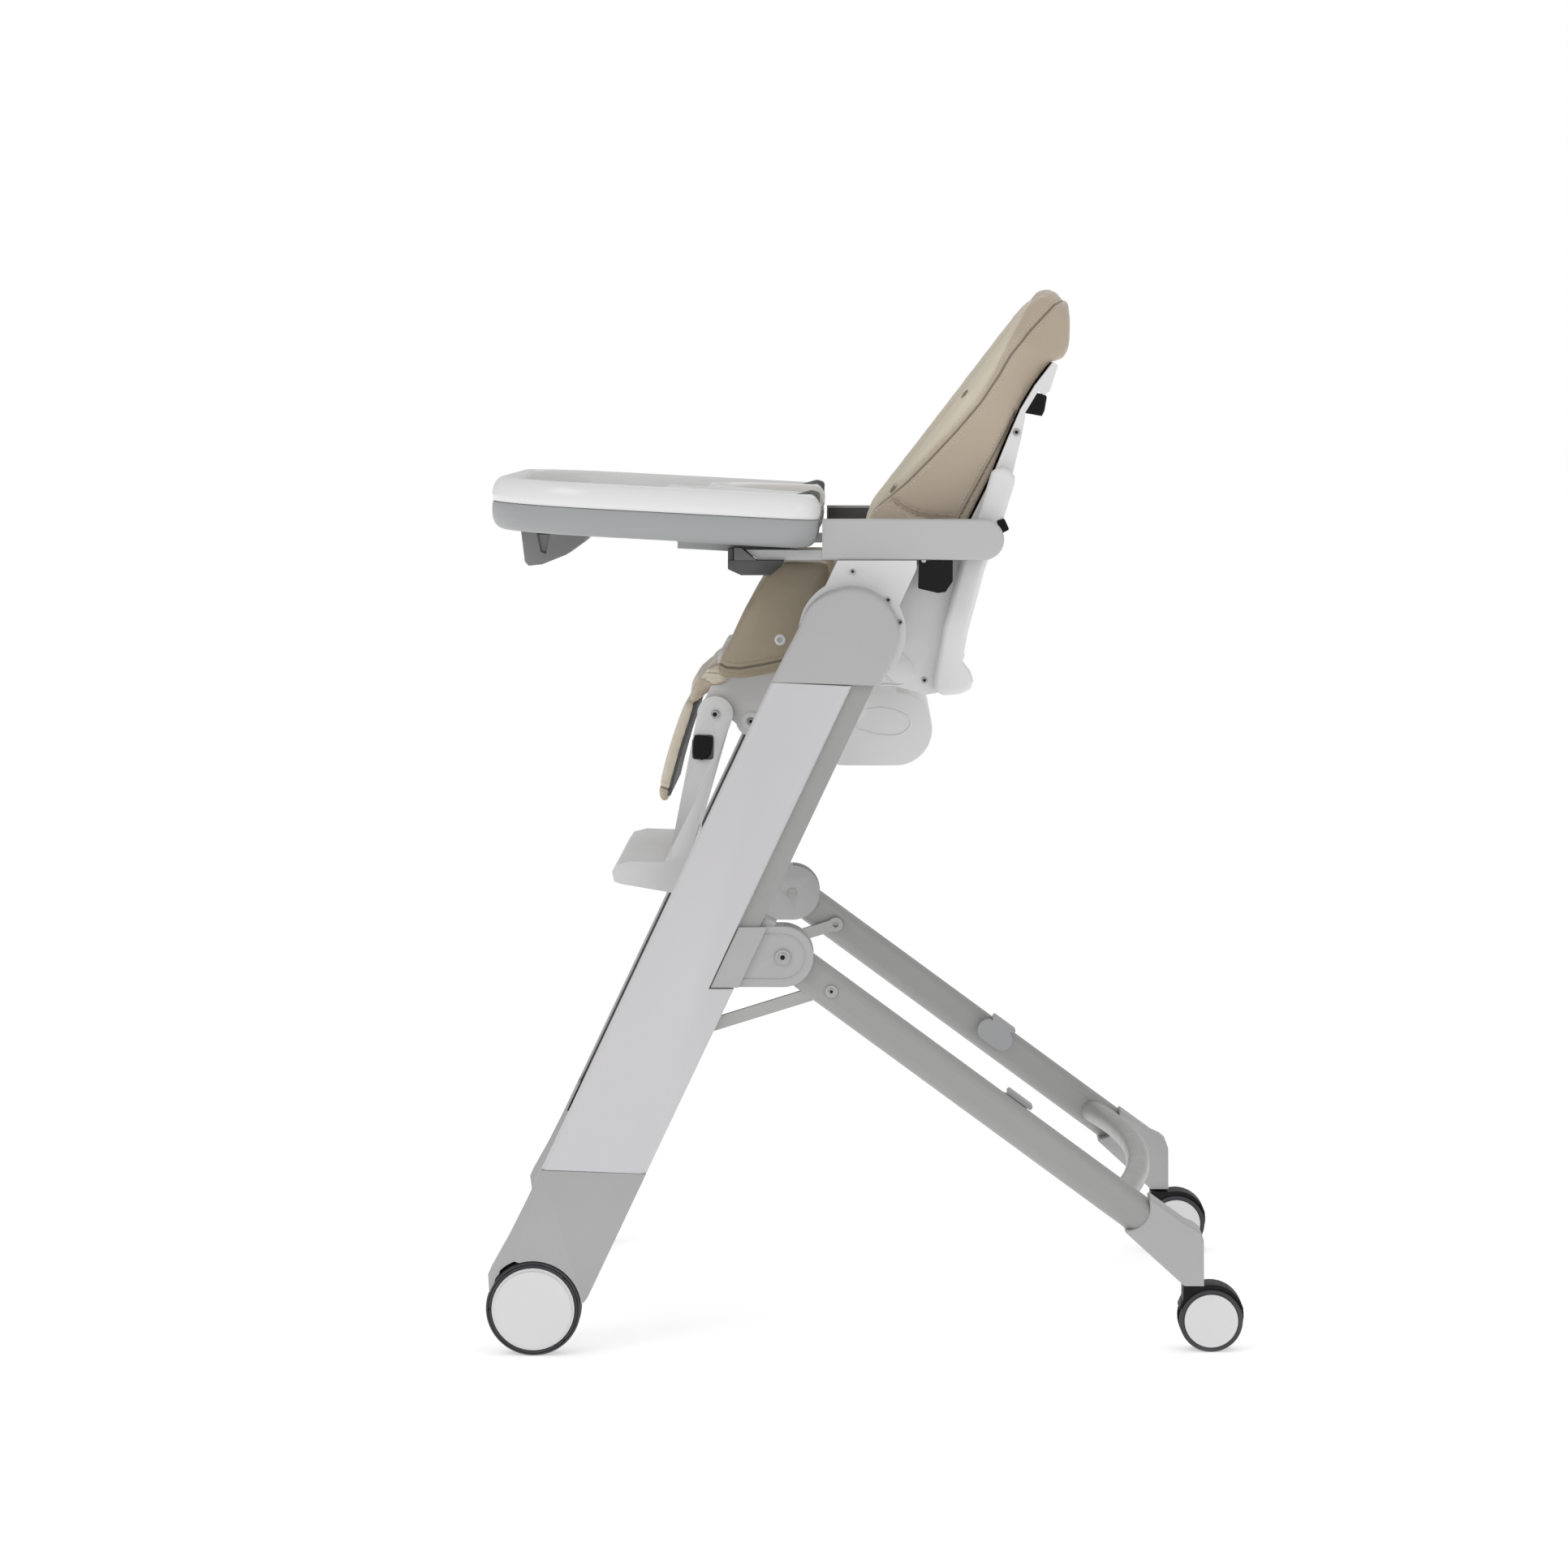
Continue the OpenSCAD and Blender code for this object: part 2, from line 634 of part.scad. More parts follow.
module tray_top() color("white") in_tray() difference() {
    translate([0, 0, -0.7]) linear_extrude(24.7) tray_outline(0);
    difference() {
        translate([0, 0, 6]) linear_extrude(30) tray_outline(14);
        translate([-172, -300, 6]) cube([180, 600, 8]);
    }
    translate([0, 0, -2]) linear_extrude(5) tray_outline(3);
    translate([0, 0, -2]) linear_extrude(23) difference() {
        tray_outline(3);
        tray_outline(11);
    }
    translate([0, 0, -2]) linear_extrude(13) intersection() {
        translate([-169, -300]) square([180, 600]);
        tray_outline(17);
    }
    both_sides() translate([-47, 203.5, -2]) cube([60, 20, 40]);
}

module tray_lever() color("gray") {
    difference() {
        plate(-42, 42) polygon([
            [-357, 810.5], [-353, 776], [-349, 771.5], [-335, 773], [-310, 783], [-292, 796],
            [-283, 806.5]
        ]);
        plate(-39, 39) polygon([
            [-351, 806], [-348, 777], [-335, 777], [-312, 787], [-296, 799], [-291, 804]
        ]);
        plate(-43, 43) polygon([[-340, 805], [-336, 786], [-331, 784.5], [-327, 805]]);
    }
    plate(-24, 24) polygon([[-346, 804], [-304, 803], [-304, 822], [-346, 824]]);
}

// ---- nodes ----

left_side() front_leg();  // front_leg_left
right_side() front_leg();  // front_leg_right
left_side() leg_cover();  // leg_cover_left
right_side() leg_cover();  // leg_cover_right
left_side() leg_top_cap();  // leg_top_cap_left
right_side() leg_top_cap();  // leg_top_cap_right
left_side() leg_foot();  // leg_foot_left
right_side() leg_foot();  // leg_foot_right
front_cross_tube();
front_axles();
strut_pins();
left_side() front_tyre();  // front_tyre_left
right_side() front_tyre();  // front_tyre_right
left_side() front_hub();  // front_hub_left
right_side() front_hub();  // front_hub_right
left_side() fold_slider();  // fold_slider_left
right_side() fold_slider();  // fold_slider_right
hub_pins();
left_side() rear_leg();  // rear_leg_left
right_side() rear_leg();  // rear_leg_right
rear_cross_tube();
left_side() rear_foot();  // rear_foot_left
right_side() rear_foot();  // rear_foot_right
tray_hooks();
strut_rivets();
left_side() fold_strut();  // fold_strut_left
right_side() fold_strut();  // fold_strut_right
left_side() castor_hood();  // castor_hood_left
right_side() castor_hood();  // castor_hood_right
left_side() castor_tyres();  // castor_tyres_left
right_side() castor_tyres();  // castor_tyres_right
left_side() castor_hubs();  // castor_hubs_left
right_side() castor_hubs();  // castor_hubs_right
left_side() seat_carrier();  // seat_carrier_left
right_side() seat_carrier();  // seat_carrier_right
carrier_tie_tube();
left_side() armrest();  // armrest_left
right_side() armrest();  // armrest_right
armrest_liners();
carrier_screws();
left_side() height_lever();  // height_lever_left
right_side() height_lever();  // height_lever_right
left_side() backrest_arm();  // backrest_arm_left
right_side() backrest_arm();  // backrest_arm_right
backrest_shell();
backrest_pad();
backrest_screws();
shoulder_straps();
recline_handle();
seat_pan();
seat_cushion();
crotch_strap();
harness_buckle();
leg_rest_frame();
calf_pad();
left_side() leg_rest_button();  // leg_rest_button_left
right_side() leg_rest_button();  // leg_rest_button_right
tray_base();
tray_top();
tray_lever();
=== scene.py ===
"""Looks for the folding high chair: materials, softened edges, cushions, seams, straps and screws."""
import json
import math
from functools import partial

import bmesh
import bpy
import numpy as np
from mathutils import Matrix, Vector


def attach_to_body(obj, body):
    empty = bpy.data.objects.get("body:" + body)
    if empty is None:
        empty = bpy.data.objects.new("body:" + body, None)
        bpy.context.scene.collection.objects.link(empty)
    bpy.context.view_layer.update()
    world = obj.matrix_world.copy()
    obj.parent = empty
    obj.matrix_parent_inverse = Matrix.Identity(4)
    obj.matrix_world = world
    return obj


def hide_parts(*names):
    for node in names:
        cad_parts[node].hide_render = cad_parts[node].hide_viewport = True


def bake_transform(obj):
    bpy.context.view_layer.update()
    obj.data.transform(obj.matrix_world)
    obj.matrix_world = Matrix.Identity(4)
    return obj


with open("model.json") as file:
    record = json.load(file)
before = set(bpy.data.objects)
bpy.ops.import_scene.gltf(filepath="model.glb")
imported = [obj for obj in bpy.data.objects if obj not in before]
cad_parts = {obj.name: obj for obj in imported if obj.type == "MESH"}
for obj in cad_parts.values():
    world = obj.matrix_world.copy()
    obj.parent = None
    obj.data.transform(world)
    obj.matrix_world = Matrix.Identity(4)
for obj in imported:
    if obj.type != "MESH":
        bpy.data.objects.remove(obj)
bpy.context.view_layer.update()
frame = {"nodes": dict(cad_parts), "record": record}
nodes = frame["nodes"]
scene = bpy.context.scene
MM = 0.001
SIDES = (("left", -1), ("right", 1))
M = {}      # materials by name


# ---- materials ----

class Shader:
    """A material with one Principled shader, and short calls for the nodes that feed it."""

    def __init__(self, name, base, rough, metallic=0.0, **sockets):
        self.mat = M[name] = bpy.data.materials.new(name)
        self.mat.use_nodes = True
        self.tree = self.mat.node_tree
        self.bsdf = self.tree.nodes["Principled BSDF"]
        self.bsdf.inputs["Base Color"].default_value = (*base, 1)
        self.bsdf.inputs["Roughness"].default_value = rough
        self.bsdf.inputs["Metallic"].default_value = metallic
        for key, value in sockets.items():
            self.bsdf.inputs[key.replace("_", " ")].default_value = value
        self.coords = self.node("ShaderNodeTexCoord").outputs["Object"]
        self.height = None

    def node(self, kind, **settings):
        n = self.tree.nodes.new(kind)
        for key, value in settings.items():
            setattr(n, key, value)
        return n

    def link(self, a, b):
        self.tree.links.new(a, b)

    def math(self, operation, a, b=None, c=None):
        n = self.node("ShaderNodeMath", operation=operation)
        for i, value in enumerate((a, b, c)):
            if value is None:
                continue
            if isinstance(value, (int, float)):
                n.inputs[i].default_value = value
            else:
                self.link(value, n.inputs[i])
        return n.outputs[0]

    def noise(self, scale, detail=2.0, stretch=(1, 1, 1)):
        mapping = self.node("ShaderNodeMapping")
        mapping.inputs["Scale"].default_value = stretch
        self.link(self.coords, mapping.inputs["Vector"])
        n = self.node("ShaderNodeTexNoise")
        n.inputs["Scale"].default_value = scale
        n.inputs["Detail"].default_value = detail
        self.link(mapping.outputs[0], n.inputs["Vector"])
        return n.outputs["Fac"]

    def cells(self, scale):
        n = self.node("ShaderNodeTexVoronoi", feature="DISTANCE_TO_EDGE")
        n.inputs["Scale"].default_value = scale
        self.link(self.coords, n.inputs["Vector"])
        return n.outputs["Distance"]

    def ramp(self, value, low, high, out_low, out_high):
        n = self.node("ShaderNodeMapRange", interpolation_type="SMOOTHSTEP")
        for i, x in enumerate((low, high, out_low, out_high), 1):
            n.inputs[i].default_value = x
        self.link(value, n.inputs["Value"])
        return n.outputs["Result"]

    def mix(self, value, a, b):
        """Blends from a to b by value. Each is a colour or another node's output."""
        n = self.node("ShaderNodeMix", data_type="RGBA")
        self.link(value, n.inputs["Factor"])
        for key, color in (("A", a), ("B", b)):
            if isinstance(color, tuple):
                n.inputs[key].default_value = (*color, 1)
            else:
                self.link(color, n.inputs[key])
        return n.outputs["Result"]

    def color(self, socket):
        self.link(socket, self.bsdf.inputs["Base Color"])

    def rough(self, value, low, high):
        self.link(self.ramp(value, 0.3, 0.7, low, high), self.bsdf.inputs["Roughness"])

    def bump(self, value, strength, distance):
        n = self.node("ShaderNodeBump")
        n.inputs["Strength"].default_value = strength
        n.inputs["Distance"].default_value = distance
        self.link(value, n.inputs["Height"])
        if self.height is not None:
            self.link(self.height, n.inputs["Normal"])
        self.height = n.outputs["Normal"]
        self.link(self.height, self.bsdf.inputs["Normal"])


def shade(color, factor):
    return tuple(min(1.0, c * factor) for c in color)


def plastic(name, color, rough, grain=0.25, vary=0.05, specular=0.5):
    """Moulded plastic: faint clouding, uneven gloss, and a fine spark-eroded grain."""
    s = Shader(name, color, rough, Specular_IOR_Level=specular)
    cloud = s.noise(6.0, 3.0)
    s.color(s.mix(cloud, shade(color, 1 - vary), shade(color, 1 + vary)))
    s.rough(s.noise(38.0, 4.0), rough - 0.05, rough + 0.07)
    s.bump(s.noise(1700.0, 2.0), grain, 0.00025)
    s.bump(s.noise(9.0, 1.0), 0.06, 0.002)


def painted(name, color, rough):
    """Powder-coated tube: fine orange peel under a satin sheen."""
    s = Shader(name, color, rough, Coat_Weight=0.25, Coat_Roughness=0.3)
    s.color(s.mix(s.noise(14.0, 3.0), shade(color, 0.95), shade(color, 1.05)))
    s.rough(s.noise(60.0, 3.0), rough - 0.05, rough + 0.06)
    s.bump(s.noise(620.0, 2.0), 0.22, 0.0003)


def steel(name, color, rough):
    """Zinc-plated steel, brushed along X."""
    s = Shader(name, color, rough, metallic=1.0)
    streak = s.noise(90.0, 3.0, stretch=(0.5, 9, 9))
    s.color(s.mix(streak, shade(color, 0.8), shade(color, 1.15)))
    s.rough(streak, rough - 0.08, rough + 0.1)
    s.bump(streak, 0.15, 0.0002)


def rubber(name, color, rough):
    """Dull tyre compound with fine pitting and dusty high spots."""
    s = Shader(name, color, rough)
    dust = s.noise(26.0, 5.0)
    s.color(s.mix(s.ramp(dust, 0.42, 0.68, 0, 1), color, shade(color, 1.5)))
    s.rough(dust, rough - 0.06, rough + 0.08)
    s.bump(s.noise(900.0, 3.0), 0.4, 0.0003)


def webbing(name, color):
    """Woven strap: fine diagonal ribs and a soft sheen."""
    s = Shader(name, color, 0.75, Sheen_Weight=0.3, Sheen_Roughness=0.5)
    wave = s.node("ShaderNodeTexWave", wave_type="BANDS", bands_direction="DIAGONAL")
    wave.inputs["Scale"].default_value = 330.0
    wave.inputs["Distortion"].default_value = 1.5
    s.link(s.coords, wave.inputs["Vector"])
    s.color(s.mix(wave.outputs["Fac"], shade(color, 0.7), shade(color, 1.3)))
    s.bump(wave.outputs["Fac"], 0.6, 0.0005)


GROOVE = 0.0016             # metres: half the width of a seam's pressed groove
STITCH_ROW = 0.0052         # from the seam to the row of stitches
STITCH_PITCH = 0.0021       # half of one stitch and its gap


def leatherette(name, front, side=None):
    """Wipe-clean leatherette with fine grain. With a side colour, the mesh carries seam_d and seam_s: a pressed
    groove runs where seam_d is 0, with a row of stitches beside it. The colours meet where border_d is 0."""
    s = Shader(name, front, 0.42, Sheen_Weight=0.06, Sheen_Roughness=0.4)
    cloud = s.noise(7.0, 4.0)
    base = s.mix(cloud, shade(front, 0.95), shade(front, 1.04))
    grain = s.cells(560.0)
    if side is not None:
        d, along, border = (s.node("ShaderNodeAttribute", attribute_name=name).outputs["Fac"]
                            for name in ("seam_d", "seam_s", "border_d"))
        other = s.mix(cloud, shade(side, 0.94), shade(side, 1.05))
        base = s.mix(s.ramp(border, -GROOVE, GROOVE, 0, 1), base, other)
        near = s.math("ABSOLUTE", d)
        groove = s.ramp(near, 0.0, GROOVE, 1, 0)
        # Painted shade in the seam's groove: its floor is mixed towards a deep copy of the side colour.
        base = s.mix(s.math("MULTIPLY", groove, 0.75), base, shade(side, 0.32))
        row = s.ramp(s.math("ABSOLUTE", s.math("SUBTRACT", near, STITCH_ROW)), 0.0004, 0.0009, 1, 0)
        dash = s.ramp(s.math("PINGPONG", along, STITCH_PITCH), 0.0005, 0.0008, 0, 1)
        stitch = s.math("MULTIPLY", row, dash)
        base = s.mix(s.math("MULTIPLY", stitch, 0.6), base, shade(front, 1.12))
        s.bump(s.math("SUBTRACT", stitch, s.math("MULTIPLY", groove, 2.5)), 0.7, 0.0011)
    s.color(base)
    s.rough(s.noise(55.0, 4.0), 0.36, 0.5)
    s.bump(grain, 0.25, 0.0004)
    s.bump(s.noise(30.0, 3.0), 0.12, 0.0015)


painted("rail_grey", (0.33, 0.335, 0.32), 0.42)
plastic("cover_silver", (0.60, 0.59, 0.605), 0.38, grain=0.12, vary=0.02)
plastic("cap_grey", (0.43, 0.43, 0.43), 0.45, grain=0.3)
rubber("tyre_dark", (0.05, 0.05, 0.055), 0.78)
plastic("shell_white", (0.73, 0.73, 0.73), 0.4)
plastic("black_plastic", (0.006, 0.006, 0.006), 0.5, grain=0.25, specular=0.2)
steel("steel", (0.45, 0.45, 0.44), 0.38)
plastic("armrest_grey", (0.50, 0.50, 0.50), 0.42, grain=0.12, vary=0.02)
# Partly painted shade: the tray base's grey is both its own colour and the shade on its side under the tray.
plastic("tray_grey", (0.36, 0.365, 0.37), 0.42)
plastic("lever_grey", (0.24, 0.24, 0.24), 0.45)
plastic("grip_grey", (0.13, 0.13, 0.13), 0.4)
plastic("liner_dark", (0.13, 0.13, 0.13), 0.5, grain=0.3)
plastic("liner_black", (0.07, 0.07, 0.072), 0.5, grain=0.4)
webbing("strap_grey", (0.16, 0.155, 0.15))
plastic("tray_white", (0.80, 0.80, 0.80), 0.16, grain=0.03, vary=0.015)
CREAM = (0.64, 0.575, 0.46)
TAUPE = (0.49, 0.41, 0.315)
# Painted shade: the seat flaps sit in shade under the tray and armrests, so their leatherette is a darker copy of
# TAUPE.
SHADED_TAUPE = (0.36, 0.30, 0.215)
leatherette("pad_back", CREAM, TAUPE)
leatherette("pad_seat", SHADED_TAUPE, shade(SHADED_TAUPE, 0.95))
leatherette("pad_calf", CREAM, TAUPE)
leatherette("pad_plain", shade(TAUPE, 1.02))
# Painted shade: the slits in the pad's rim are a darkened copy of the taupe, for the shade inside them.
leatherette("slit", shade(TAUPE, 0.45))


# ---- CAD nodes: materials and softened edges ----

slot_of = {s["node"]: s["material_slot"] for s in frame["record"]["subparts"]}
body_of = {n: body for body, names in frame["record"]["behaviour"]["bodies"].items() for n in names}
EDGE = {"fold_slider": 1.2, "rear_foot": 1.6, "seat_carrier": 1.0, "castor_hood": 1.4, "front_tyre": 3.0,
        "front_hub": 1.4, "castor_tyres": 1.6, "castor_hubs": 1.0, "backrest_shell": 1.2, "tray_base": 0.8,
        "height_lever": 2.5, "recline_handle": 2.5, "leg_rest_button": 1.0, "tray_hooks": 1.5}
PLAIN_EDGE = 0.5            # millimetres, for nodes that EDGE doesn't name
WELD = 2e-6                 # metres
COPLANAR, SHARP = 0.3, 30   # degrees between two faces


def attach(piece, body):
    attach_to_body(piece, body)


def placed(name, data):
    obj = bpy.data.objects.new(name, data)
    scene.collection.objects.link(obj)
    return obj


def soften(obj, width, segments=3):
    """Rounds the sharp edges without touching the mesh itself."""
    weld = obj.modifiers.new("weld", "WELD")
    weld.merge_threshold = WELD
    b = obj.modifiers.new("edges", "BEVEL")
    b.width = width * MM
    b.segments = segments
    b.limit_method = "ANGLE"
    b.angle_limit = math.radians(32)
    b.harden_normals = True
    b.miter_outer = "MITER_ARC"
    b.use_clamp_overlap = True


for name, obj in nodes.items():
    slot = slot_of[name]
    obj.data.materials.clear()
    obj.data.materials.append(M.get(slot, M["pad_plain"]))
    width = next((w for key, w in EDGE.items() if name.startswith(key)), PLAIN_EDGE)
    soften(obj, width, 3 if width > 1 else 2)


def recast(name, radius, pick, segments=6, rest=0.7):
    """A welded copy of a CAD node that stands for it, with the picked edges rounded more than the rest.
    pick takes the edge's middle in millimetres and its direction."""
    bm = bmesh.new()
    bm.from_mesh(nodes[name].data)
    bmesh.ops.remove_doubles(bm, verts=bm.verts, dist=WELD)
    bmesh.ops.dissolve_limit(bm, angle_limit=math.radians(COPLANAR), verts=bm.verts, edges=bm.edges)
    sharp = [e for e in bm.edges if len(e.link_faces) == 2 and e.calc_face_angle() > math.radians(SHARP)]
    chosen = [e for e in sharp
              if pick((e.verts[0].co + e.verts[1].co) / 2 / MM, (e.verts[1].co - e.verts[0].co).normalized())]
    bmesh.ops.bevel(bm, geom=chosen, offset=radius * MM, segments=segments, profile=0.5, affect="EDGES",
                    clamp_overlap=True, miter_outer="ARC")
    for f in bm.faces:
        f.smooth = True
    mesh = bpy.data.meshes.new(name + "_shaped")
    bm.to_mesh(mesh)
    bm.free()
    obj = placed(name + "_shaped", mesh)
    mesh.materials.append(M[slot_of[name]])
    soften(obj, rest, 2)
    attach(obj, body_of[name])
    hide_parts(name)
    return obj


def outer_face(y, also=lambda at, way: True):
    """Picks edges that lie on the outer face at |Y| = y, where also(middle, direction) agrees."""
    return lambda at, way: abs(at.y) > y - 0.1 and also(at, way)


def upright(at, way):
    return abs(way.z) > 0.8


def nowhere(at, way):
    return False


def span(y, near, far):
    """The two Y limits of a piece on one side, in rising order."""
    return sorted((y * near, y * far))


LEG_FACE, ARM_FACE = 289, 238       # |Y| of the outer faces of the leg mouldings and armrests
FRONT_EDGE = -34                    # across the leg: points before this are on its front edge
FORWARD = 7.5                       # how far that edge comes forward
AXLE = (-329, 47)                   # X and Z of the front wheels
RECESS, SNUG = 50, 48               # radius of the foot's wheel recess, before and after
LIP_CUT = [(-140, 800), (-140, 776), (-104.5, 776), (-104.8, 784.5), (-110, 788), (-116, 793), (-124, 800)]
CATCH_CUT = [(-81, 786.6), (-84, 780), (-97, 769), (-50, 769), (-50, 786.6)]
CATCH = [(-131, 798), (-130, 777), (-123, 771.5), (-106, 771.5), (-105.3, 783.6), (-111, 787.2),
         (-117, 792.2), (-124, 798)]


def widen(obj, by):
    """Moves a leg moulding's front edge forward. by is a table of height along the leg and millimetres."""
    q = back_again(points(obj), *LEG)
    q[:, 0] -= np.where(q[:, 0] < FRONT_EDGE, np.interp(q[:, 2], *by), 0)
    set_points(obj, [on_leg(*p) for p in q])


def shape_castings():
    for side, _ in SIDES:
        cover = recast("leg_cover_" + side, 9.5, outer_face(LEG_FACE, upright))
        cap = recast("leg_top_cap_" + side, 5.0, outer_face(LEG_FACE, lambda at, way: at.z > 666.5))
        widen(cover, ([0], [FORWARD]))
        widen(cap, ([690, 747, 775], [FORWARD, 4, 0]))
        recast("backrest_arm_" + side, 6.0, outer_face(207))
        recast("rear_foot_" + side, 4.0, outer_face(275))
        recast("fold_slider_" + side, 2.6, outer_face(282))
    pan = recast("seat_pan", 9.0, outer_face(147.6))
    co = points(pan) / MM
    top_front = (co[:, 0] < -158) & (co[:, 2] > 670)
    co[top_front] += (9, 0, -10)
    set_points(pan, co * MM)
    recast("leg_rest_frame", 3.5, outer_face(160))
    recast("tray_lever", 3.5, outer_face(42))


def shape_catches():
    """The armrest ends in a curved lip over the dark catch that the tray slides on."""
    arms = [recast("armrest_" + side, 5.0, outer_face(ARM_FACE, lambda at, way: at.x > -42))
            for side, _ in SIDES]
    liners = recast("armrest_liners", 0.5, nowhere)
    for (side, y), arm in zip(SIDES, arms):
        combine(arm, prism("lip_cut", LIP_CUT, *span(y, 212, 239), M["armrest_grey"], 0.01), "DIFFERENCE")
        combine(liners, prism("catch_cut", CATCH_CUT, *span(y, 200, 240), M["liner_black"], 0.01), "DIFFERENCE")
        block = prism("tray_catch_" + side, rounded(CATCH, 1.5, 2), *span(y, 217.5, 237.5),
                      M["liner_dark"], 1.0, 2)
        attach(block, body_of["armrest_liners"])


def shape_feet():
    """Closes the recess round the wheel, and carries the fairing down in front of it and behind."""
    for side, _ in SIDES:
        foot = recast("leg_foot_" + side, 6.0,
                      outer_face(LEG_FACE, lambda at, way: 96 < at.z < 182 and upright(at, way)))
        widen(foot, ([12, 48, 88], [0, 2.5, FORWARD]))
        co = points(foot) / MM
        around = np.hypot(co[:, 0] - AXLE[0], co[:, 2] - AXLE[1])
        rim = (abs(around - RECESS) < 0.4) & (abs(co[:, 1]) > LEG_FACE - 0.6)
        for k, centre in zip((0, 2), AXLE):
            co[rim, k] += (centre - co[rim, k]) * (RECESS - SNUG) / RECESS
        low_front = (co[:, 0] < -365) & (co[:, 2] < 77)
        low_rear = (co[:, 0] > -292) & (co[:, 2] < 52) & (abs(co[:, 1]) > 259)
        co[low_front] += (-2.5, 0, -14)
        co[low_rear] += (-3, 0, -5)
        set_points(foot, co * MM)


# ---- mesh helpers ----

def new_object(name, verts, faces, material, smooth=True):
    mesh = bpy.data.meshes.new(name)
    mesh.from_pydata([tuple(v) for v in verts], [], faces)
    mesh.validate()
    obj = placed(name, mesh)
    mesh.materials.append(material)
    bm = bmesh.new()
    bm.from_mesh(mesh)
    bmesh.ops.recalc_face_normals(bm, faces=bm.faces)
    for f in bm.faces:
        f.smooth = smooth
    bm.to_mesh(mesh)
    bm.free()
    return obj


def applied(obj):
    """Bakes the modifiers into the mesh."""
    graph = bpy.context.evaluated_depsgraph_get()
    mesh = bpy.data.meshes.new_from_object(obj.evaluated_get(graph))
    mesh.name = obj.name
    obj.modifiers.clear()
    obj.data = mesh
    return obj


def points(obj):
    co = np.empty(len(obj.data.vertices) * 3)
    obj.data.vertices.foreach_get("co", co)
    return co.reshape(-1, 3)


def set_points(obj, co):
    obj.data.vertices.foreach_set("co", np.asarray(co).ravel())
    obj.data.update()


def smooth_faces(obj):
    obj.data.polygons.foreach_set("use_smooth", [True] * len(obj.data.polygons))


def loft(name, rows, material):
    """A closed skin over rings of equal length, with flat ends."""
    n = len(rows[0])
    verts = [p for row in rows for p in row]
    faces = []
    for i in range(len(rows) - 1):
        for j in range(n):
            k = (j + 1) % n
            faces.append((i * n + j, i * n + k, (i + 1) * n + k, (i + 1) * n + j))
    faces.append(tuple(range(n)))
    faces.append(tuple(range((len(rows) - 1) * n, len(rows) * n)))
    return new_object(name, verts, faces, material)


def prism(name, outline, y0, y1, material, edge=2.0, segments=3, place=None):
    """An outline in X and Z millimetres, extruded from y0 to y1, with rounded edges."""
    n = len(outline)
    place = place or (lambda x, y, z: Vector((x, y, z)) * MM)
    verts = [place(x, y, z) for y in (y0, y1) for x, z in outline]
    faces = [tuple(range(n)), tuple(range(n, 2 * n))]
    faces += [(i, (i + 1) % n, n + (i + 1) % n, n + i) for i in range(n)]
    obj = new_object(name, verts, faces, material)
    soften(obj, edge, segments)
    return obj


def rounded(corners, radius, steps=6):
    """The outline with each corner cut to an arc. radius is one number or one per corner."""
    out, n = [], len(corners)
    for i in range(n):
        p = Vector(corners[i])
        a, b = Vector(corners[i - 1]) - p, Vector(corners[(i + 1) % n]) - p
        r = radius[i] if isinstance(radius, (list, tuple)) else radius
        if r <= 0:
            out.append(tuple(p))
            continue
        half = a.angle(b) / 2
        reach = min(r / math.tan(half), 0.48 * a.length, 0.48 * b.length)
        r = reach * math.tan(half)
        start, end = p + a.normalized() * reach, p + b.normalized() * reach
        for k in range(steps + 1):
            t = k / steps
            q = start.lerp(p, t).lerp(p.lerp(end, t), t)
            out.append((q.x, q.y))
    return out


# ---- places ----

def turned(origin_x, origin_z, degrees):
    """Maps local millimetres to the frame: local z leans to the rear by degrees."""
    c, s = math.cos(math.radians(degrees)), math.sin(math.radians(degrees))
    return lambda x, y, z: Vector((origin_x + x * c + z * s, y, origin_z - x * s + z * c)) * MM


def back_again(co, origin_x, origin_z, degrees):
    """Frame metres to local millimetres, for an array of points."""
    c, s = math.cos(math.radians(degrees)), math.sin(math.radians(degrees))
    x, z = co[:, 0] / MM - origin_x, co[:, 2] / MM - origin_z
    return np.stack([x * c - z * s, co[:, 1] / MM, x * s + z * c], 1)


BACK = (-8, 723, 37.5)
LEG = (-329, 47, 25.2)
REAR = (-82, 398, 36.3)
TRAY = (-46, 826, 3)
on_back, on_leg, on_rear, on_tray = (turned(*p) for p in (BACK, LEG, REAR, TRAY))
BACK_UP = (on_back(0, 0, 1) - on_back(0, 0, 0)).normalized()
BACK_OUT = (on_back(0, 0, 0) - on_back(1, 0, 0)).normalized()       # out of the back pad's front face
ACROSS = Vector((0, 1, 0))


# ---- cushions ----

SETTLE = 20     # frames of cloth simulation
FAR = 99        # millimetres: a seam that is nowhere near


def seam_distance(points2, line):
    """Signed distance to a polyline, and the distance along it. Positive is right of its direction."""
    best = np.full(len(points2), 1e9)
    sign, along = np.zeros(len(points2)), np.zeros(len(points2))
    run = 0.0
    for i, (a, b) in enumerate(zip(line, line[1:])):
        a, b = np.array(a, float), np.array(b, float)
        d = b - a
        length = np.hypot(*d)
        first, last = i == 0, i == len(line) - 2
        t = np.clip((points2 - a) @ d / length ** 2, -1e9 if first else 0, 1e9 if last else 1)
        off = points2 - (a + t[:, None] * d)
        dist = np.hypot(off[:, 0], off[:, 1])
        nearer = dist < best
        best[nearer] = dist[nearer]
        sign[nearer] = np.sign(d[1] * off[nearer, 0] - d[0] * off[nearer, 1])
        along[nearer] = run + np.clip(t[nearer], 0, 1) * length
        run += length
    return best * sign, along


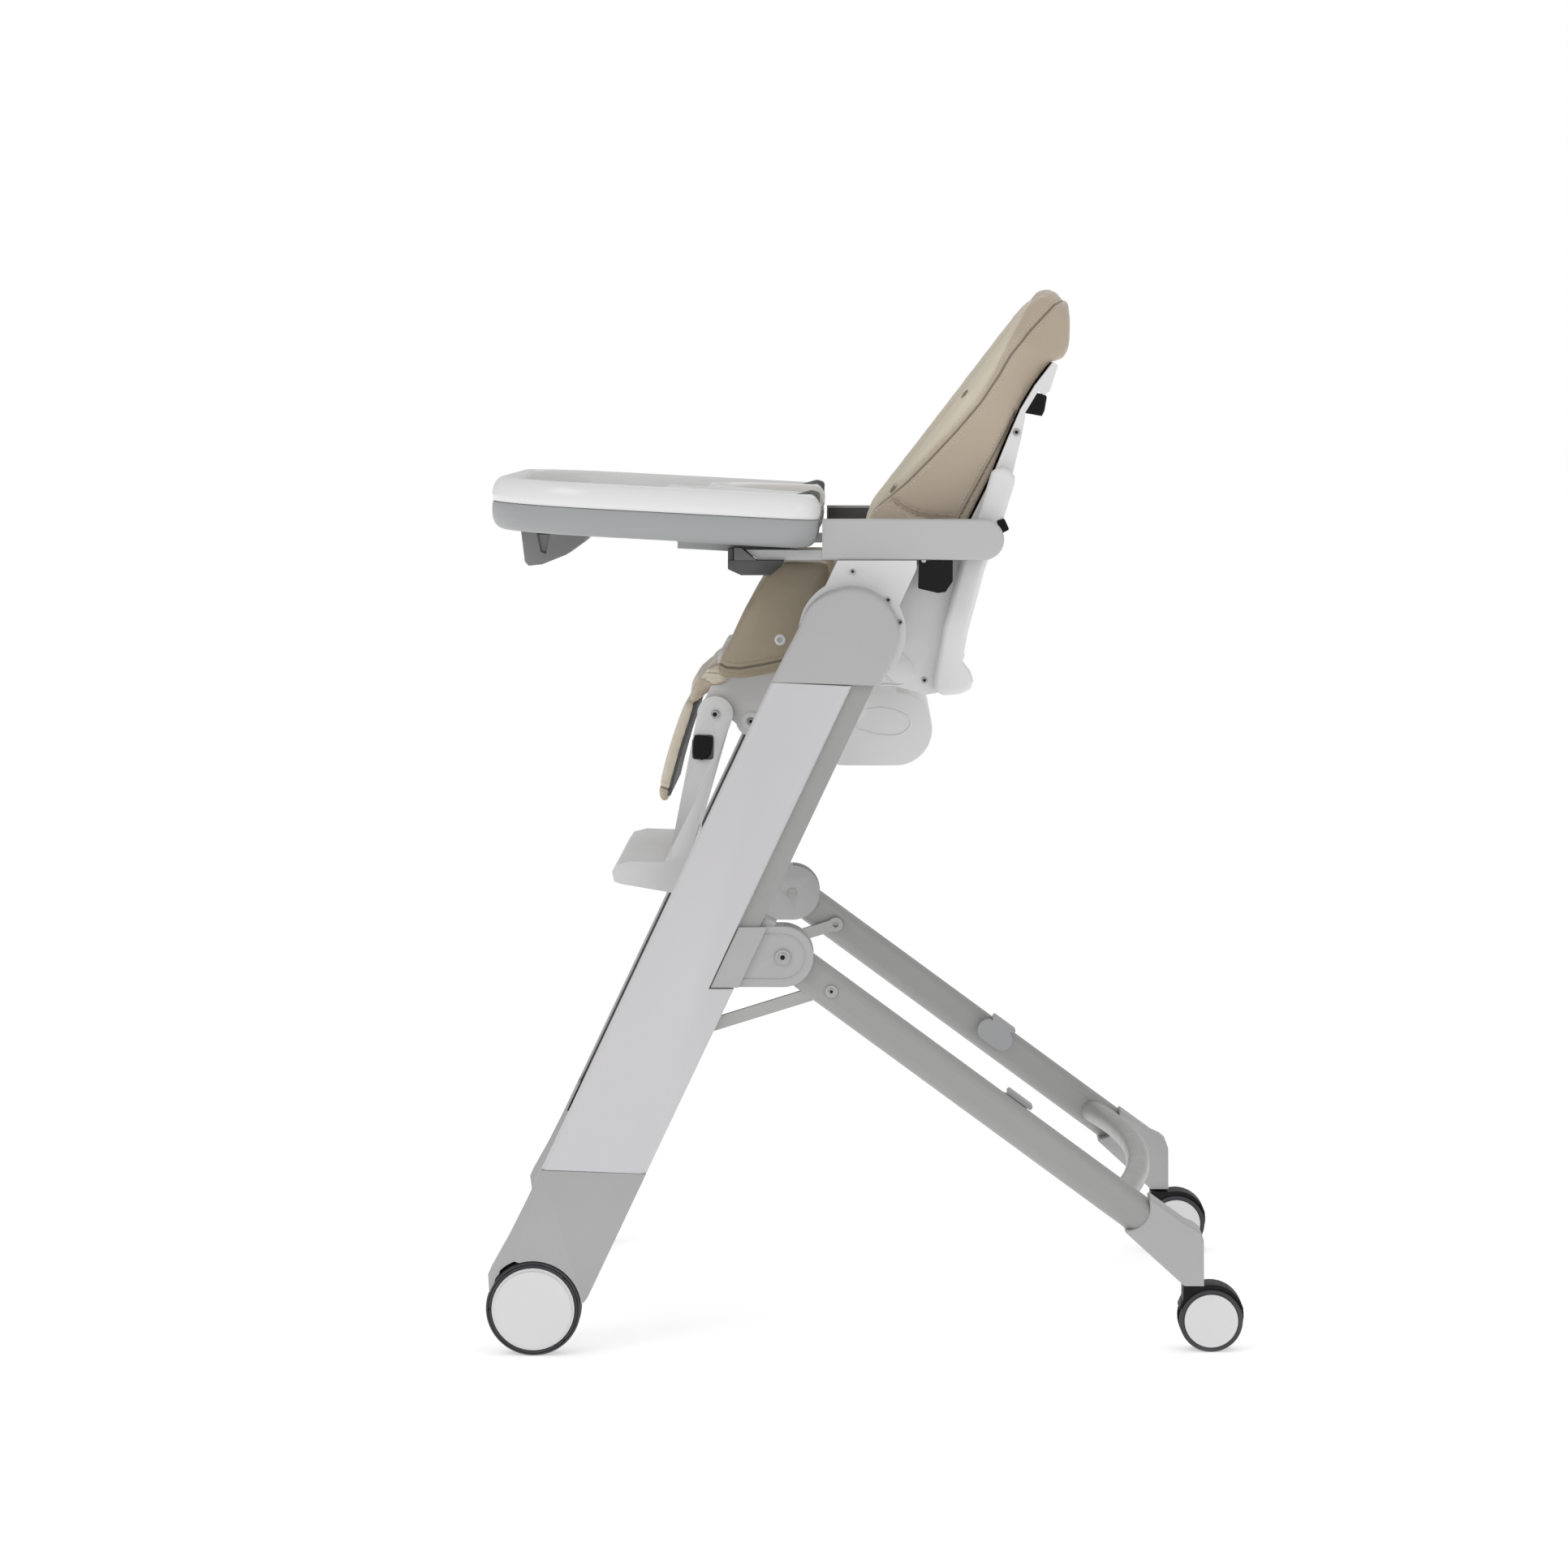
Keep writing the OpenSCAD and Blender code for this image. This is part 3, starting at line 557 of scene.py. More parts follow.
def puff(obj, voxel, pressure, cap, held=None):
    """Fills the skin like a cushion: cloth under pressure. Points where held(co) is true stay put."""
    remesh = obj.modifiers.new("remesh", "REMESH")
    remesh.mode = "VOXEL"
    remesh.voxel_size = voxel * MM
    applied(obj)
    start = points(obj)
    cloth = obj.modifiers.new("cloth", "CLOTH")
    settings = cloth.settings
    settings.quality = 5
    settings.mass = 0.25
    settings.tension_stiffness = settings.compression_stiffness = 12
    settings.shear_stiffness = 6
    settings.bending_stiffness = 1.5
    settings.use_pressure = True
    settings.uniform_pressure_force = pressure
    settings.effector_weights.gravity = 0
    if held is not None:
        group = obj.vertex_groups.new(name="held")
        group.add([int(i) for i in np.nonzero(held(start))[0]], 1.0, "REPLACE")
        settings.vertex_group_mass = "held"
    cloth.point_cache.frame_start, cloth.point_cache.frame_end = 1, SETTLE
    for f in range(1, SETTLE + 1):
        scene.frame_set(f)
    applied(obj)
    moved = points(obj) - start
    far = np.linalg.norm(moved, axis=1, keepdims=True)
    moved *= np.minimum(1, cap * MM / np.maximum(far, 1e-9))
    set_points(obj, start + moved)
    scene.frame_set(1)
    smooth = obj.modifiers.new("relax", "SMOOTH")
    smooth.factor, smooth.iterations = 0.5, 3
    fine = obj.modifiers.new("fine", "SUBSURF")
    fine.levels = fine.render_levels = 1
    applied(obj)
    smooth_faces(obj)


def mark_seam(obj, d, along, depth=1.3, width=2.6, border=None):
    """Stores the seam for the material, which paints shade into its groove, and presses a soft groove along it.
    Distances are in millimetres.
    The two colours meet where border is 0, which is the seam itself unless it is given."""
    for name, value in (("seam_d", d), ("seam_s", along), ("border_d", d if border is None else border)):
        a = obj.data.attributes.new(name, "FLOAT", "POINT")
        a.data.foreach_set("value", (value * MM).astype(np.float32))
    pressed(obj, d, depth, width)


# Lines on the back pad's side as (x, z), and tables of z and x, all in the back's own millimetres.
BACK_SEAM = [(-20, 392), (-31, 381), (-37, 370), (-41, 334), (-42, 302), (-39, 279), (-37, 245), (-39, 208),
             (-43, 169), (-47, 139), (-52, 119), (-57, 101), (-63, 84), (-72, 62)]
# Partly painted shade: where CREAM_EDGE runs a few millimetres in front of BACK_SEAM, the taupe covers the shaded
# valley before the seam; elsewhere it is the cream panel's own edge.
CREAM_EDGE = [(-62, 366), (-61, 359.5), (-55, 337), (-51, 308), (-45.5, 283.6), (-41.5, 257), (-41, 240),
              (-43, 210), (-46, 186), (-48.5, 158), (-51.5, 135), (-56, 115), (-62, 90), (-74, 60)]
HEM = [(-1, 255), (3, 235), (8.6, 197), (17.5, 141), (24, 100), (27, 75), (30, 24)]
CREASE = [(-46.6, 114.4), (-32.8, 115), (-17.8, 118), (-5.3, 124), (7.5, 133)]
PAD_REAR = ([24, 75, 100, 148, 192, 234, 264, 292, 322, 327, 333, 345, 368, 379, 385],
            [29, 38, 36, 26.3, 17.8, 6.2, -1.4, -4.6, -4.4, 2.5, 5, 2, -14, -24, -44])
PAD_CREST = ([24, 42, 70, 96, 352, 378, 385], [-12, -31, -52, -62, -62, -55, -46])
PAD_MIDDLE = ([24, 300, 352, 378, 385], [-18, -22, -48, -54, -45])
PAD_HALF = ([0, 250, 320, 372, 386], [180, 180, 165, 130, 92])      # half the width
PAD_LEVELS = (27, 34, 46, 60, 76, 96, 120, 145, 170, 195, 220, 245, 270, 292, 308, 320, 324, 328, 334, 346,
              358, 368, 376, 381)
PANEL_INSET, PANEL_TOP = 59, 300        # the seams round the middle panel, from the pad's sides and base


def pressed(obj, d, depth, width):
    """Pushes the skin in along the line d = 0."""
    normals = np.empty(len(obj.data.vertices) * 3)
    obj.data.vertices.foreach_get("normal", normals)
    push = depth * MM * np.exp(-(d / width) ** 2)
    set_points(obj, points(obj) - normals.reshape(-1, 3) * push[:, None])


def back_pad():
    rows = []
    for lz in PAD_LEVELS:
        w = np.interp(lz, *PAD_HALF) - 3
        r, c, m = (np.interp(lz, *t) for t in (PAD_REAR, PAD_CREST, PAD_MIDDLE))
        r, c = r - 1.2, max(c + 3, -58)
        m = max(m, c)
        ring = [(r, 0), (r, 0.5 * w), (r, w - 14), (r - 0.3, w - 4), (r - 4, w + 0.5), ((r + c) / 2, w),
                (c + 24, w), (c + 9, w - 5), (c + 1.5, w - 13), (c, w - 24), (c + 3, w - 34),
                ((c + m) / 2, w - 44), (m - 3, w - 56), (m - 1, w - 74), (m - 3, 0.45 * w), (m - 4, 0)]
        full = ring + [(x, -y) for x, y in ring[-2:0:-1]]
        rows.append([on_back(x, y, lz) for x, y in full])
    pad = loft("back_cushion", rows, M["pad_back"])

    def held(co):
        x, y, z = back_again(co, *BACK).T
        y = abs(y)
        w = np.interp(z, *PAD_HALF)
        rear = np.interp(z, *PAD_REAR) - x < 7
        inner = (abs(y - (w - PANEL_INSET)) < 3) & (x < 5) & (z > 50) & (z < 350)
        across = (abs(z - PANEL_TOP) < 3) & (y < w - PANEL_INSET) & (x < 0)
        d, _ = seam_distance(np.stack([x, z], 1), BACK_SEAM)
        outer = (abs(d) < 3) & (y > w - 14)
        return rear | inner | across | outer

    puff(pad, 5.0, 5.0, 9.0, held)
    q = back_again(points(pad), *BACK)
    rear = np.interp(q[:, 2], *PAD_REAR)
    q[:, 0] = np.maximum(np.minimum(q[:, 0], rear - 0.2), -66)
    q[:, 1] = np.clip(q[:, 1], -182, 182)
    set_points(pad, [on_back(*p) for p in q])
    profile = q[:, [0, 2]]
    x, y, z = q[:, 0], abs(q[:, 1]), q[:, 2]
    w = np.interp(z, *PAD_HALF)
    inside = (y < w - 22) & (x < rear - 14)
    side = y > w - 12
    d, along = seam_distance(profile, BACK_SEAM[::-1])
    # The colours meet at CREAM_EDGE, so the shaded band in front of the seam is painted taupe.
    border, _ = seam_distance(profile, CREAM_EDGE[::-1])
    hem, hem_along = seam_distance(profile, HEM)
    crease, _ = seam_distance(profile, CREASE)
    near = np.minimum(abs(y - (w - PANEL_INSET)), np.where(y < w - PANEL_INSET + 3, abs(z - PANEL_TOP), FAR))
    panel = -np.clip(near + 0.9, 0.9, 30)
    border = np.where(inside, z - 361, border)
    hem = np.where(side & (z < 262), abs(hem), FAR)
    crease = np.where(side & (x > -50) & (x < 12), crease, FAR)
    pressed(pad, crease, 2.4, 4.5)
    pressed(pad, np.where((side | (x < -30)) & ~inside, d + 3, FAR), 1.6, 5)
    pressed(pad, np.where(inside, FAR, border), 0.8, 2.4)
    on_hem = hem < abs(d)
    along = np.where(inside, z, np.where(on_hem, hem_along, along))
    d = np.where(inside, panel, np.where(on_hem, hem, d))
    # The crease goes into seam_d, so the leatherette paints part of a groove's shade along the fold.
    d = np.where(abs(crease) < abs(d), abs(crease) + 0.7, d)
    mark_seam(pad, d, along, border=border)
    attach(pad, "backrest")
    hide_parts("backrest_pad")
    return pad


SEAT_FLAP = [(-84, 783), (-101, 769), (-122, 735), (-135, 706), (-147, 683), (-152, 672), (-147, 666),
             (-126, 664), (-103, 668), (-85, 671), (-60, 676), (-34, 684), (-34, 715), (-34, 742), (-38, 783)]
FLAP_HEM = [(-170, 690), (-149, 681), (-140, 676), (-126, 675), (-103, 679), (-85, 683), (-60, 688), (-30, 696)]
FLAP_MIDDLE = (-92, 716)
FLAP_RINGS = ((149.5, 0.90), (151, 0.97), (155, 0.995), (164, 1.0), (173, 0.995), (177, 0.975), (178.5, 0.93))
SEAT_EDGE = [(-141, 693), (-136, 709), (-30, 709), (-30, 693)]
SEAT_SEAM_Y, SEAT_SEAM_X = 62, -62      # the sewn lines of the seat cushion


def seat_pads():
    for side, y in SIDES:
        cx, cz = FLAP_MIDDLE
        rings = [[Vector((cx + (x - cx) * scale, y * depth, cz + (z - cz) * scale)) * MM
                  for x, z in rounded(SEAT_FLAP, 6, 2)] for depth, scale in FLAP_RINGS]
        # The flap's leatherette is the darker copy of the taupe, with the shade under the tray painted in.
        flap = loft("seat_flap_" + side, rings, M["pad_seat"])
        puff(flap, 4.0, 5.0, 5.0, lambda co: (abs(co[:, 1]) < 0.153) | (co[:, 2] < 0.668))
        q = points(flap) / MM
        q[:, 1] = np.clip(q[:, 1], *span(y, 148.6, 181.5))
        q[:, 0] = np.minimum(q[:, 0], -32.5)
        set_points(flap, q * MM)
        d, along = seam_distance(q[:, [0, 2]], FLAP_HEM)
        mark_seam(flap, d, along, depth=0.9, width=2.2)
        attach(flap, "seat")
    rows = []
    for y in (-146, -144, -138, -120, -80, -40, 0, 40, 80, 120, 138, 144, 146):
        pinch = 0.80 if abs(y) > 145 else 0.93 if abs(y) > 143 else 1.0
        rows.append([Vector((-85 + (x + 85) * (1 - (1 - pinch) * 0.1), y, 701 + (z - 701) * pinch)) * MM
                     for x, z in rounded(SEAT_EDGE, 7, 4)])
    cushion = loft("seat_cushion_pad", rows, M["pad_back"])

    def from_seam(q):
        return abs(abs(q[:, 1]) - SEAT_SEAM_Y), abs(q[:, 0] - SEAT_SEAM_X)

    def held(co):
        along_x, along_y = from_seam(co / MM)
        return (co[:, 2] / MM < 694) | (along_x < 3) | (along_y < 3)

    puff(cushion, 5.0, 5.0, 6.0, held)
    q = points(cushion) / MM
    q[:, 2] = np.clip(q[:, 2], 689.8, 715.5)
    set_points(cushion, q * MM)
    d = -np.clip(np.minimum(*from_seam(q)) + 0.9, 0.9, 30)
    mark_seam(cushion, np.where(q[:, 2] > 696, d, -20), q[:, 0] + q[:, 1], depth=1.0, width=2.4)
    attach(cushion, "seat")
    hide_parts("seat_cushion")
    knee_flap()


KNEE_MIDDLE = [(-136, 681), (-147, 675.5), (-157, 669.5), (-165.5, 661), (-172, 651.5), (-178, 643),
               (-181.5, 636.5)]
KNEE_UP, KNEE_DOWN = [4, 5, 5, 5, 5, 4, 3], [7, 15, 16, 12, 8, 5, 3]    # thickness to each side of the middle
KNEE_FOLD = 668         # height of the stitched fold


def knee_flap():
    """The quilted strip that joins the seat to the calf pad."""
    rows = []
    for y in (-150, -148.5, -140, -70, 0, 70, 140, 148.5, 150):
        k = 0.8 if abs(y) > 149 else 1
        upper, lower = [], []
        for i, ((x, z), up, down) in enumerate(zip(KNEE_MIDDLE, KNEE_UP, KNEE_DOWN)):
            a, b = Vector(KNEE_MIDDLE[max(i - 1, 0)]), Vector(KNEE_MIDDLE[min(i + 1, len(KNEE_MIDDLE) - 1)])
            way = (b - a).normalized()
            n = Vector((way.y, -way.x)) * k
            spread = 1 - 0.045 * max(0, i - 2)
            upper.append((x + n.x * up, y * spread, z + n.y * up))
            lower.append((x - n.x * down, y * spread, z - n.y * down))
        rows.append([Vector(p) * MM for p in upper + lower[::-1]])
    strip = loft("knee_flap", rows, M["pad_back"])
    puff(strip, 4.0, 4.0, 3.0, lambda co: (abs(co[:, 2] - KNEE_FOLD * MM) < 0.002) | (co[:, 2] > 0.689))
    q = points(strip) / MM
    fold = abs(q[:, 2] - KNEE_FOLD)
    edge = abs(q[:, 1]) - np.interp(q[:, 2], [637, 668, 690], [114, 139, 141])
    mark_seam(strip, np.where(fold < abs(edge), -fold - 0.7, edge), q[:, 1], depth=1.0, width=2.4)
    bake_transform(strip)


CALF_EDGE = [(-183, 640), (-194, 610), (-206, 572), (-212, 545), (-211, 536), (-204, 533.5),
             (-200, 541), (-196, 560), (-187, 592), (-177, 622), (-172, 639)]
CALF_MIDDLE = (-193, 588)
CALF_LEVELS = [533, 541, 560, 592, 622, 640]
CALF_HELD = [-198, -199.5, -195, -186, -176, -171]      # X of the back face that the simulation holds still
CALF_LIMIT = [-199.5, -199.5, -195, -186, -176, -171]   # X of the dark plate that the pad stays in front of
CALF_SEAM = 60
CALF_DARK_PLATE = [(-174.7, 637), (-179.6, 620), (-189.4, 591), (-198.4, 560), (-202.6, 541), (-199.5, 541),
           (-195, 560), (-186, 592), (-176, 622), (-171.5, 636)]


def calf_pads():
    cx, cz = CALF_MIDDLE
    rows = []
    for y in (-120, -118, -112, -60, 0, 60, 112, 118, 120):
        k = 0.9 if abs(y) > 119 else 0.97 if abs(y) > 117 else 1
        rows.append([Vector((cx + (x - cx) * k, y, cz + (z - cz) * k)) * MM
                     for x, z in rounded(CALF_EDGE, 2.5, 2)])
    pad = loft("calf_cushion", rows, M["pad_calf"])

    def held(co):
        x, y, z = (co / MM).T
        return (np.interp(z, CALF_LEVELS, CALF_HELD) - x < 5) | (abs(abs(y) - CALF_SEAM) < 2.5)

    puff(pad, 4.0, 4.0, 4.0, held)
    q = points(pad) / MM
    limit = np.interp(q[:, 2], CALF_LEVELS, CALF_LIMIT) - 3.2
    q[:, 0] = np.where(q[:, 2] > 545, np.minimum(q[:, 0], limit), q[:, 0])
    q[:, 1] = np.clip(q[:, 1], -121.5, 121.5)
    set_points(pad, q * MM)
    above_hem = q[:, 2] - 549 + (q[:, 0] + 205) * 0.3
    low = above_hem < 12
    near = abs(abs(q[:, 1]) - CALF_SEAM)
    d = np.where(low, -above_hem, -np.clip(near + 0.9, 0.9, 30))
    mark_seam(pad, d, np.where(low, q[:, 1], q[:, 2]), depth=0.8, width=2.2)
    attach(pad, "leg_rest")
    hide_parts("calf_pad")
    # A black plate behind the calf pad, where the leg rest shows dark.
    attach(prism("calf_dark_plate", CALF_DARK_PLATE, -119, 119, M["liner_black"], 0.8, 2), "leg_rest")


# ---- tray ----

TRAY_LENGTH, TRAY_HALF = 331, 262
FRONT_R, REAR_R, HORN_R = 112, 34, 22
BITE_X, BITE_R = 62, 168
STEP = -172             # where the tray's floor steps up towards the child
RIM_DEPTH = 9           # how far the base's lower rim is moved in behind the skirt
TOP_PROFILE = [(2.2, -0.6), (0.7, 1.2), (0.1, 5), (0.2, 9), (1.2, 14), (3.2, 18.6), (6, 22), (9, 23.8),
               (11.2, 23.9), (13, 22.6), (14.4, 20), (15.2, 16), (15.6, 11), (15.8, 3.2), (11, 3), (4, 0.2)]
SKIRT_PROFILE = [(1.6, -1.0), (0.9, -3), (0.7, -8), (1.1, -14), (2.2, -19), (4.6, -23.6), (8, -26.8), (12, -28.3),
                 (13.5, -27.8), (12, -26.5), (8, -24.5), (6, -18), (5.4, -8), (5, -1.6)]
GRIP = [(-45, -4), (-45, 7), (-31, 21), (-10, 28), (-1.5, 26), (-1.5, -4)]


def tray_edge(steps=14):
    """The tray's outline from above as (point, outward normal), going round once from the front middle."""
    horn_y = math.sqrt((BITE_R + HORN_R) ** 2 - (BITE_X + HORN_R) ** 2)
    meet = math.degrees(math.atan2(horn_y, -HORN_R - BITE_X))
    half = []

    def arc(cx, cy, r, start, end, n, sign=1):
        for k in range(n + 1):
            a = math.radians(start + (end - start) * k / n)
            way = Vector((math.cos(a), math.sin(a)))
            half.append((Vector((cx, cy)) + r * way, sign * way))

    def line(a, b, n, normal):
        for k in range(1, n):
            half.append((Vector(a).lerp(Vector(b), k / n), Vector(normal)))

    x0, w = -TRAY_LENGTH, TRAY_HALF
    half.append((Vector((x0, 0)), Vector((-1, 0))))
    line((x0, 0), (x0, w - FRONT_R), 8, (-1, 0))
    arc(x0 + FRONT_R, w - FRONT_R, FRONT_R, 180, 90, 2 * steps)
    line((x0 + FRONT_R, w), (-REAR_R, w), 8, (0, 1))
    arc(-REAR_R, w - REAR_R, REAR_R, 90, 0, steps)
    line((0, w - REAR_R), (0, horn_y), 4, (1, 0))
    arc(-HORN_R, horn_y, HORN_R, 0, meet - 180, steps)
    arc(BITE_X, 0, BITE_R, meet, 180, 2 * steps, -1)
    mirrored = [(Vector((p.x, -p.y)), Vector((n.x, -n.y))) for p, n in half[-2:0:-1]]
    return half + mirrored


def ring(name, profile, material):
    """A closed profile of (inset, height) swept round the tray's outline."""
    edge, m = tray_edge(), len(profile)
    verts = [on_tray(*(p - n * inset), z) for p, n in edge for inset, z in profile]
    n = len(edge)
    faces = [(i * m + j, i * m + (j + 1) % m, (i + 1) % n * m + (j + 1) % m, (i + 1) % n * m + j)
             for i in range(n) for j in range(m)]
    return new_object(name, verts, faces, material)


def slab(name, outline, z0, z1, edge):
    """A flat plate in the tray's own plane, with its upper edge rounded."""
    n = len(outline)
    verts = [on_tray(x, y, z) for z in (z0, z1) for x, y in outline]
    faces = [tuple(range(n)), tuple(range(n, 2 * n))]
    faces += [(i, (i + 1) % n, n + (i + 1) % n, n + i) for i in range(n)]
    obj = new_object(name, verts, faces, M["tray_white"], smooth=False)
    if edge:
        bm = bmesh.new()
        bm.from_mesh(obj.data)
        top = [e for e in bm.edges if all(v.index >= n for v in e.verts)]
        bmesh.ops.bevel(bm, geom=top, offset=edge * MM, segments=4, profile=0.5, affect="EDGES")
        bm.to_mesh(obj.data)
        bm.free()
    return obj


def combine(obj, tool, operation):
    b = obj.modifiers.new("join", "BOOLEAN")
    b.operation, b.solver, b.object = operation, "EXACT", tool
    applied(obj)
    bpy.data.objects.remove(tool)


def clipped(inset, low, high):
    """The outline moved in, cut to low < x < high."""
    return [(min(max(p.x, low), high), p.y) for p in (edge - n * inset for edge, n in tray_edge())]


def tray():
    top = ring("tray_top_tray", TOP_PROFILE, M["tray_white"])
    combine(top, slab("front_floor", tidy(clipped(13, -400, STEP)), 3.3, 6, 0), "UNION")
    combine(top, slab("rear_floor", tidy(clipped(13, STEP, 10)), 3.4, 14, 2.5), "UNION")
    for _, y in SIDES:
        a, b = span(y, 203.2, 223.8)
        combine(top, slab("slot", [(-47, a), (-47, b), (20, b), (20, a)], -5, 40, 0), "DIFFERENCE")
    smooth_by_angle(top)
    attach(top, "tray_insert")
    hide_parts("tray_top")
    # The skirt's grey is partly painted shade under the tray's rim.
    attach(ring("tray_skirt", SKIRT_PROFILE, M["tray_grey"]), "tray")
    base = recast("tray_base", 1.5, nowhere)
    set_points(base, tucked(points(base)))
    for side, y in SIDES:
        grip = prism("tray_grip_" + side, rounded(GRIP, [0, 6, 8, 8, 5, 0]), *span(y, 204.9, 222.1),
                     M["grip_grey"], 2.2, 4, on_tray)
        attach(grip, "tray")


def tucked(co):
    """Moves the lower rim of the tray's base inside its skirt."""
    q = back_again(co, *TRAY)
    edge = tray_edge()
    at = np.array([tuple(p) for p, _ in edge])
    normal = np.array([tuple(n) for _, n in edge])
    for i, (x, y, z) in enumerate(q):
        if -28.5 < z < -26:
            gap = np.hypot(*(at - (x, y)).T)
            if gap.min() < RIM_DEPTH:
                q[i, :2] -= normal[gap.argmin()] * RIM_DEPTH
    return np.array([on_tray(*p) for p in q])


def tidy(outline):
    """Drops points that fall on the one before, and those inside a straight run."""
    out = [p for i, p in enumerate(outline) if (Vector(p) - Vector(outline[i - 1])).length > 0.01]
    keep = []
    for i, p in enumerate(out):
        a, b = Vector(p) - Vector(out[i - 1]), Vector(out[(i + 1) % len(out)]) - Vector(p)
        if abs(a.x * b.y - a.y * b.x) > 1e-6 * a.length * b.length or a.dot(b) < 0:
            keep.append(p)
    return keep


def smooth_by_angle(obj, degrees=35):
    """Marks the sharp edges, so that flat and curved faces both shade cleanly."""
    bm = bmesh.new()
    bm.from_mesh(obj.data)
    for f in bm.faces:
        f.smooth = True
    for e in bm.edges:
        e.smooth = len(e.link_faces) == 2 and e.calc_face_angle() < math.radians(degrees)
    bm.to_mesh(obj.data)
    bm.free()


# ---- screws, straps and trim ----

def turned_part(name, profile, place, axis, material, segments=28):
    """A profile of (radius, height) in millimetres turned round an axis through a place in millimetres."""
    way = Vector(axis).normalized()
    side = way.orthogonal().normalized()
    up = way.cross(side)
    rows = []
    for r, h in profile:
        rows.append([(Vector(place) + way * h + (side * math.cos(a) + up * math.sin(a)) * max(r, 0.01)) * MM
                     for a in (2 * math.pi * k / segments for k in range(segments))])
    return loft(name, rows, material)


def screw(name, x, y, z, r, body):
    """A socket screw's head that faces out of the side of the chair."""
    place, way = (x, y, z), (0, 1 if y > 0 else -1, 0)
    head = turned_part(name, [(r, 0), (r, 0.7), (0.85 * r, 1.3), (0.55 * r, 1.3), (0.48 * r, 0.2)], place, way,
                       M["steel"])
    pit = turned_part(name + "_socket", [(0.5 * r, 0.1), (0.5 * r, 0.45)], place, way, M["black_plastic"], 6)
    for piece, slot in ((head, "steel"), (pit, "black_plastic")):
        smooth_by_angle(piece)
        attach(piece, body)


SCREWS = [("hub", -82, 284.2, 398, 4.6, "fold_sliders"), ("knee", -152.6, 162, 627.7, 4.4, "seat"),
          ("pan", -117, 142, 619, 3.6, "seat"), ("carrier_0", -14, 239.4, 775, 2.5, "seat_carrier"),
          ("carrier_1", 21, 239.4, 747, 2.5, "seat_carrier"), ("carrier_2", 33, 239.4, 725, 2.5, "seat_carrier"),
          ("latch", 57.5, 191.5, 664.5, 3.0, "backrest")]        # label, X, |Y|, Z, radius, body
LEANING_SCREWS = [("shell_0", on_back(9.5, 0, 244), 185.9, 3.2, "backrest"),
                  ("shell_1", on_back(25, 0, 204), 185.9, 3.2, "backrest"),
                  ("rivet", on_rear(59.3, 0, 0), 274.9, 3.2, "rear_legs")]


def screws():
    spots = SCREWS + [(label, p.x / MM, wide, p.z / MM, r, body) for label, p, wide, r, body in LEANING_SCREWS]
    for side, y in SIDES:
        for label, x, wide, z, r, body in spots:
            screw("screw_%s_%s" % (label, side), x, y * wide, z, r, body)


def ribbon(name, line, widths, thick, material, body):
    """A flat strap: line is its middle as (point, side direction, face direction) in metres."""
    rows = []
    for (p, across, face), w in zip(line, widths):
        a, n = across.normalized() * w / 2 * MM, face.normalized() * thick / 2 * MM
        e = across.normalized() * min(0.8, w / 4) * MM
        rows.append([p - a + n * 0.2, p - a + e + n, p + a - e + n, p + a + n * 0.2, p + a - n * 0.2,
                     p + a - e - n, p - a + e - n, p - a - n * 0.2])
    strap = loft(name, rows, material)
    smooth_by_angle(strap, 50)
    attach(strap, body)
    return strap


def pad_front(pad):
    """Gives the back pad's front face: a point for a Y and a height, found by a ray from the front."""
    tree = bpy.context.evaluated_depsgraph_get()

    def front(y, z):
        hit, where, *_ = pad.ray_cast(on_back(-140, y, z), -BACK_OUT, depsgraph=tree)
        return where if hit else on_back(-24, y, z)
    return front


def rim_slot(pad, side, y, lx, lz, length):
    """A bound slit in the rolled edge of the back pad, at lx or just behind the pad's own front edge."""
    tree = bpy.context.evaluated_depsgraph_get()

    def cast(x):
        return pad.ray_cast(on_back(x, y * 260, lz), Vector((0, -y, 0)), depsgraph=tree)

    inset = next(x for x in range(round(lx), 0) if cast(x)[0])
    _, where, normal, _ = cast(max(lx, inset + 2))
    across = BACK_UP.cross(normal).normalized()
    rows = []
    for scale, height in ((1.0, -1.2), (1.0, 0.25), (0.8, 0.5), (0.62, 0.1)):
        rows.append([where + (BACK_UP * math.cos(a) * length / 2 + across * math.sin(a) * 2.3) * scale * MM
                     + normal * height * MM for a in (2 * math.pi * k / 20 for k in range(20))])
    # The slit's dark taupe is painted shade.
    attach(loft("rim_slot_%s_%d" % (side, lz), rows, M["slit"]), "backrest")


STRAP_LEVELS = [242, 236, 225, 205, 185, 165, 145, 125, 105, 88, 74, 62]
STRAP_Y, STRAP_DRIFT = 52, 26           # a strap leaves its slot at STRAP_Y and comes in by STRAP_DRIFT
RIM_SLOTS = {244: (-58.2, 10), 128: (-55.0, 13)}        # height of a belt slot: its rim slot's X and length
CROTCH = [(-122, 716.8), (-115, 717.4), (-106, 718), (-99, 721), (-94, 728), (-90.5, 738)]
BUCKLE = [(-6.5, 0), (-7.5, 18), (-6, 39), (6, 39), (7.5, 18), (6.5, 0)]
BUCKLE_BUTTON = [(-8.4, 12), (-8.4, 26), (-5, 26), (-5, 12)]


def belt_slot(side, place, level):
    """A flat dark oval on the pad's face: painted shade in the opening of a belt slot."""
    slot = turned_part("belt_slot_%s_%d" % (side, level), [(1, 0), (1, 1.0)], (0, 0, 0), (0, 0, 1),
                       M["liner_black"], 20)
    set_points(slot, [place + (ACROSS * min(max(x * 15, -15), 15) + BACK_UP * y * 3.2
                               + BACK_OUT * (z * 1.2 + 0.2)) * MM for x, y, z in points(slot) / MM])
    attach(slot, "backrest")


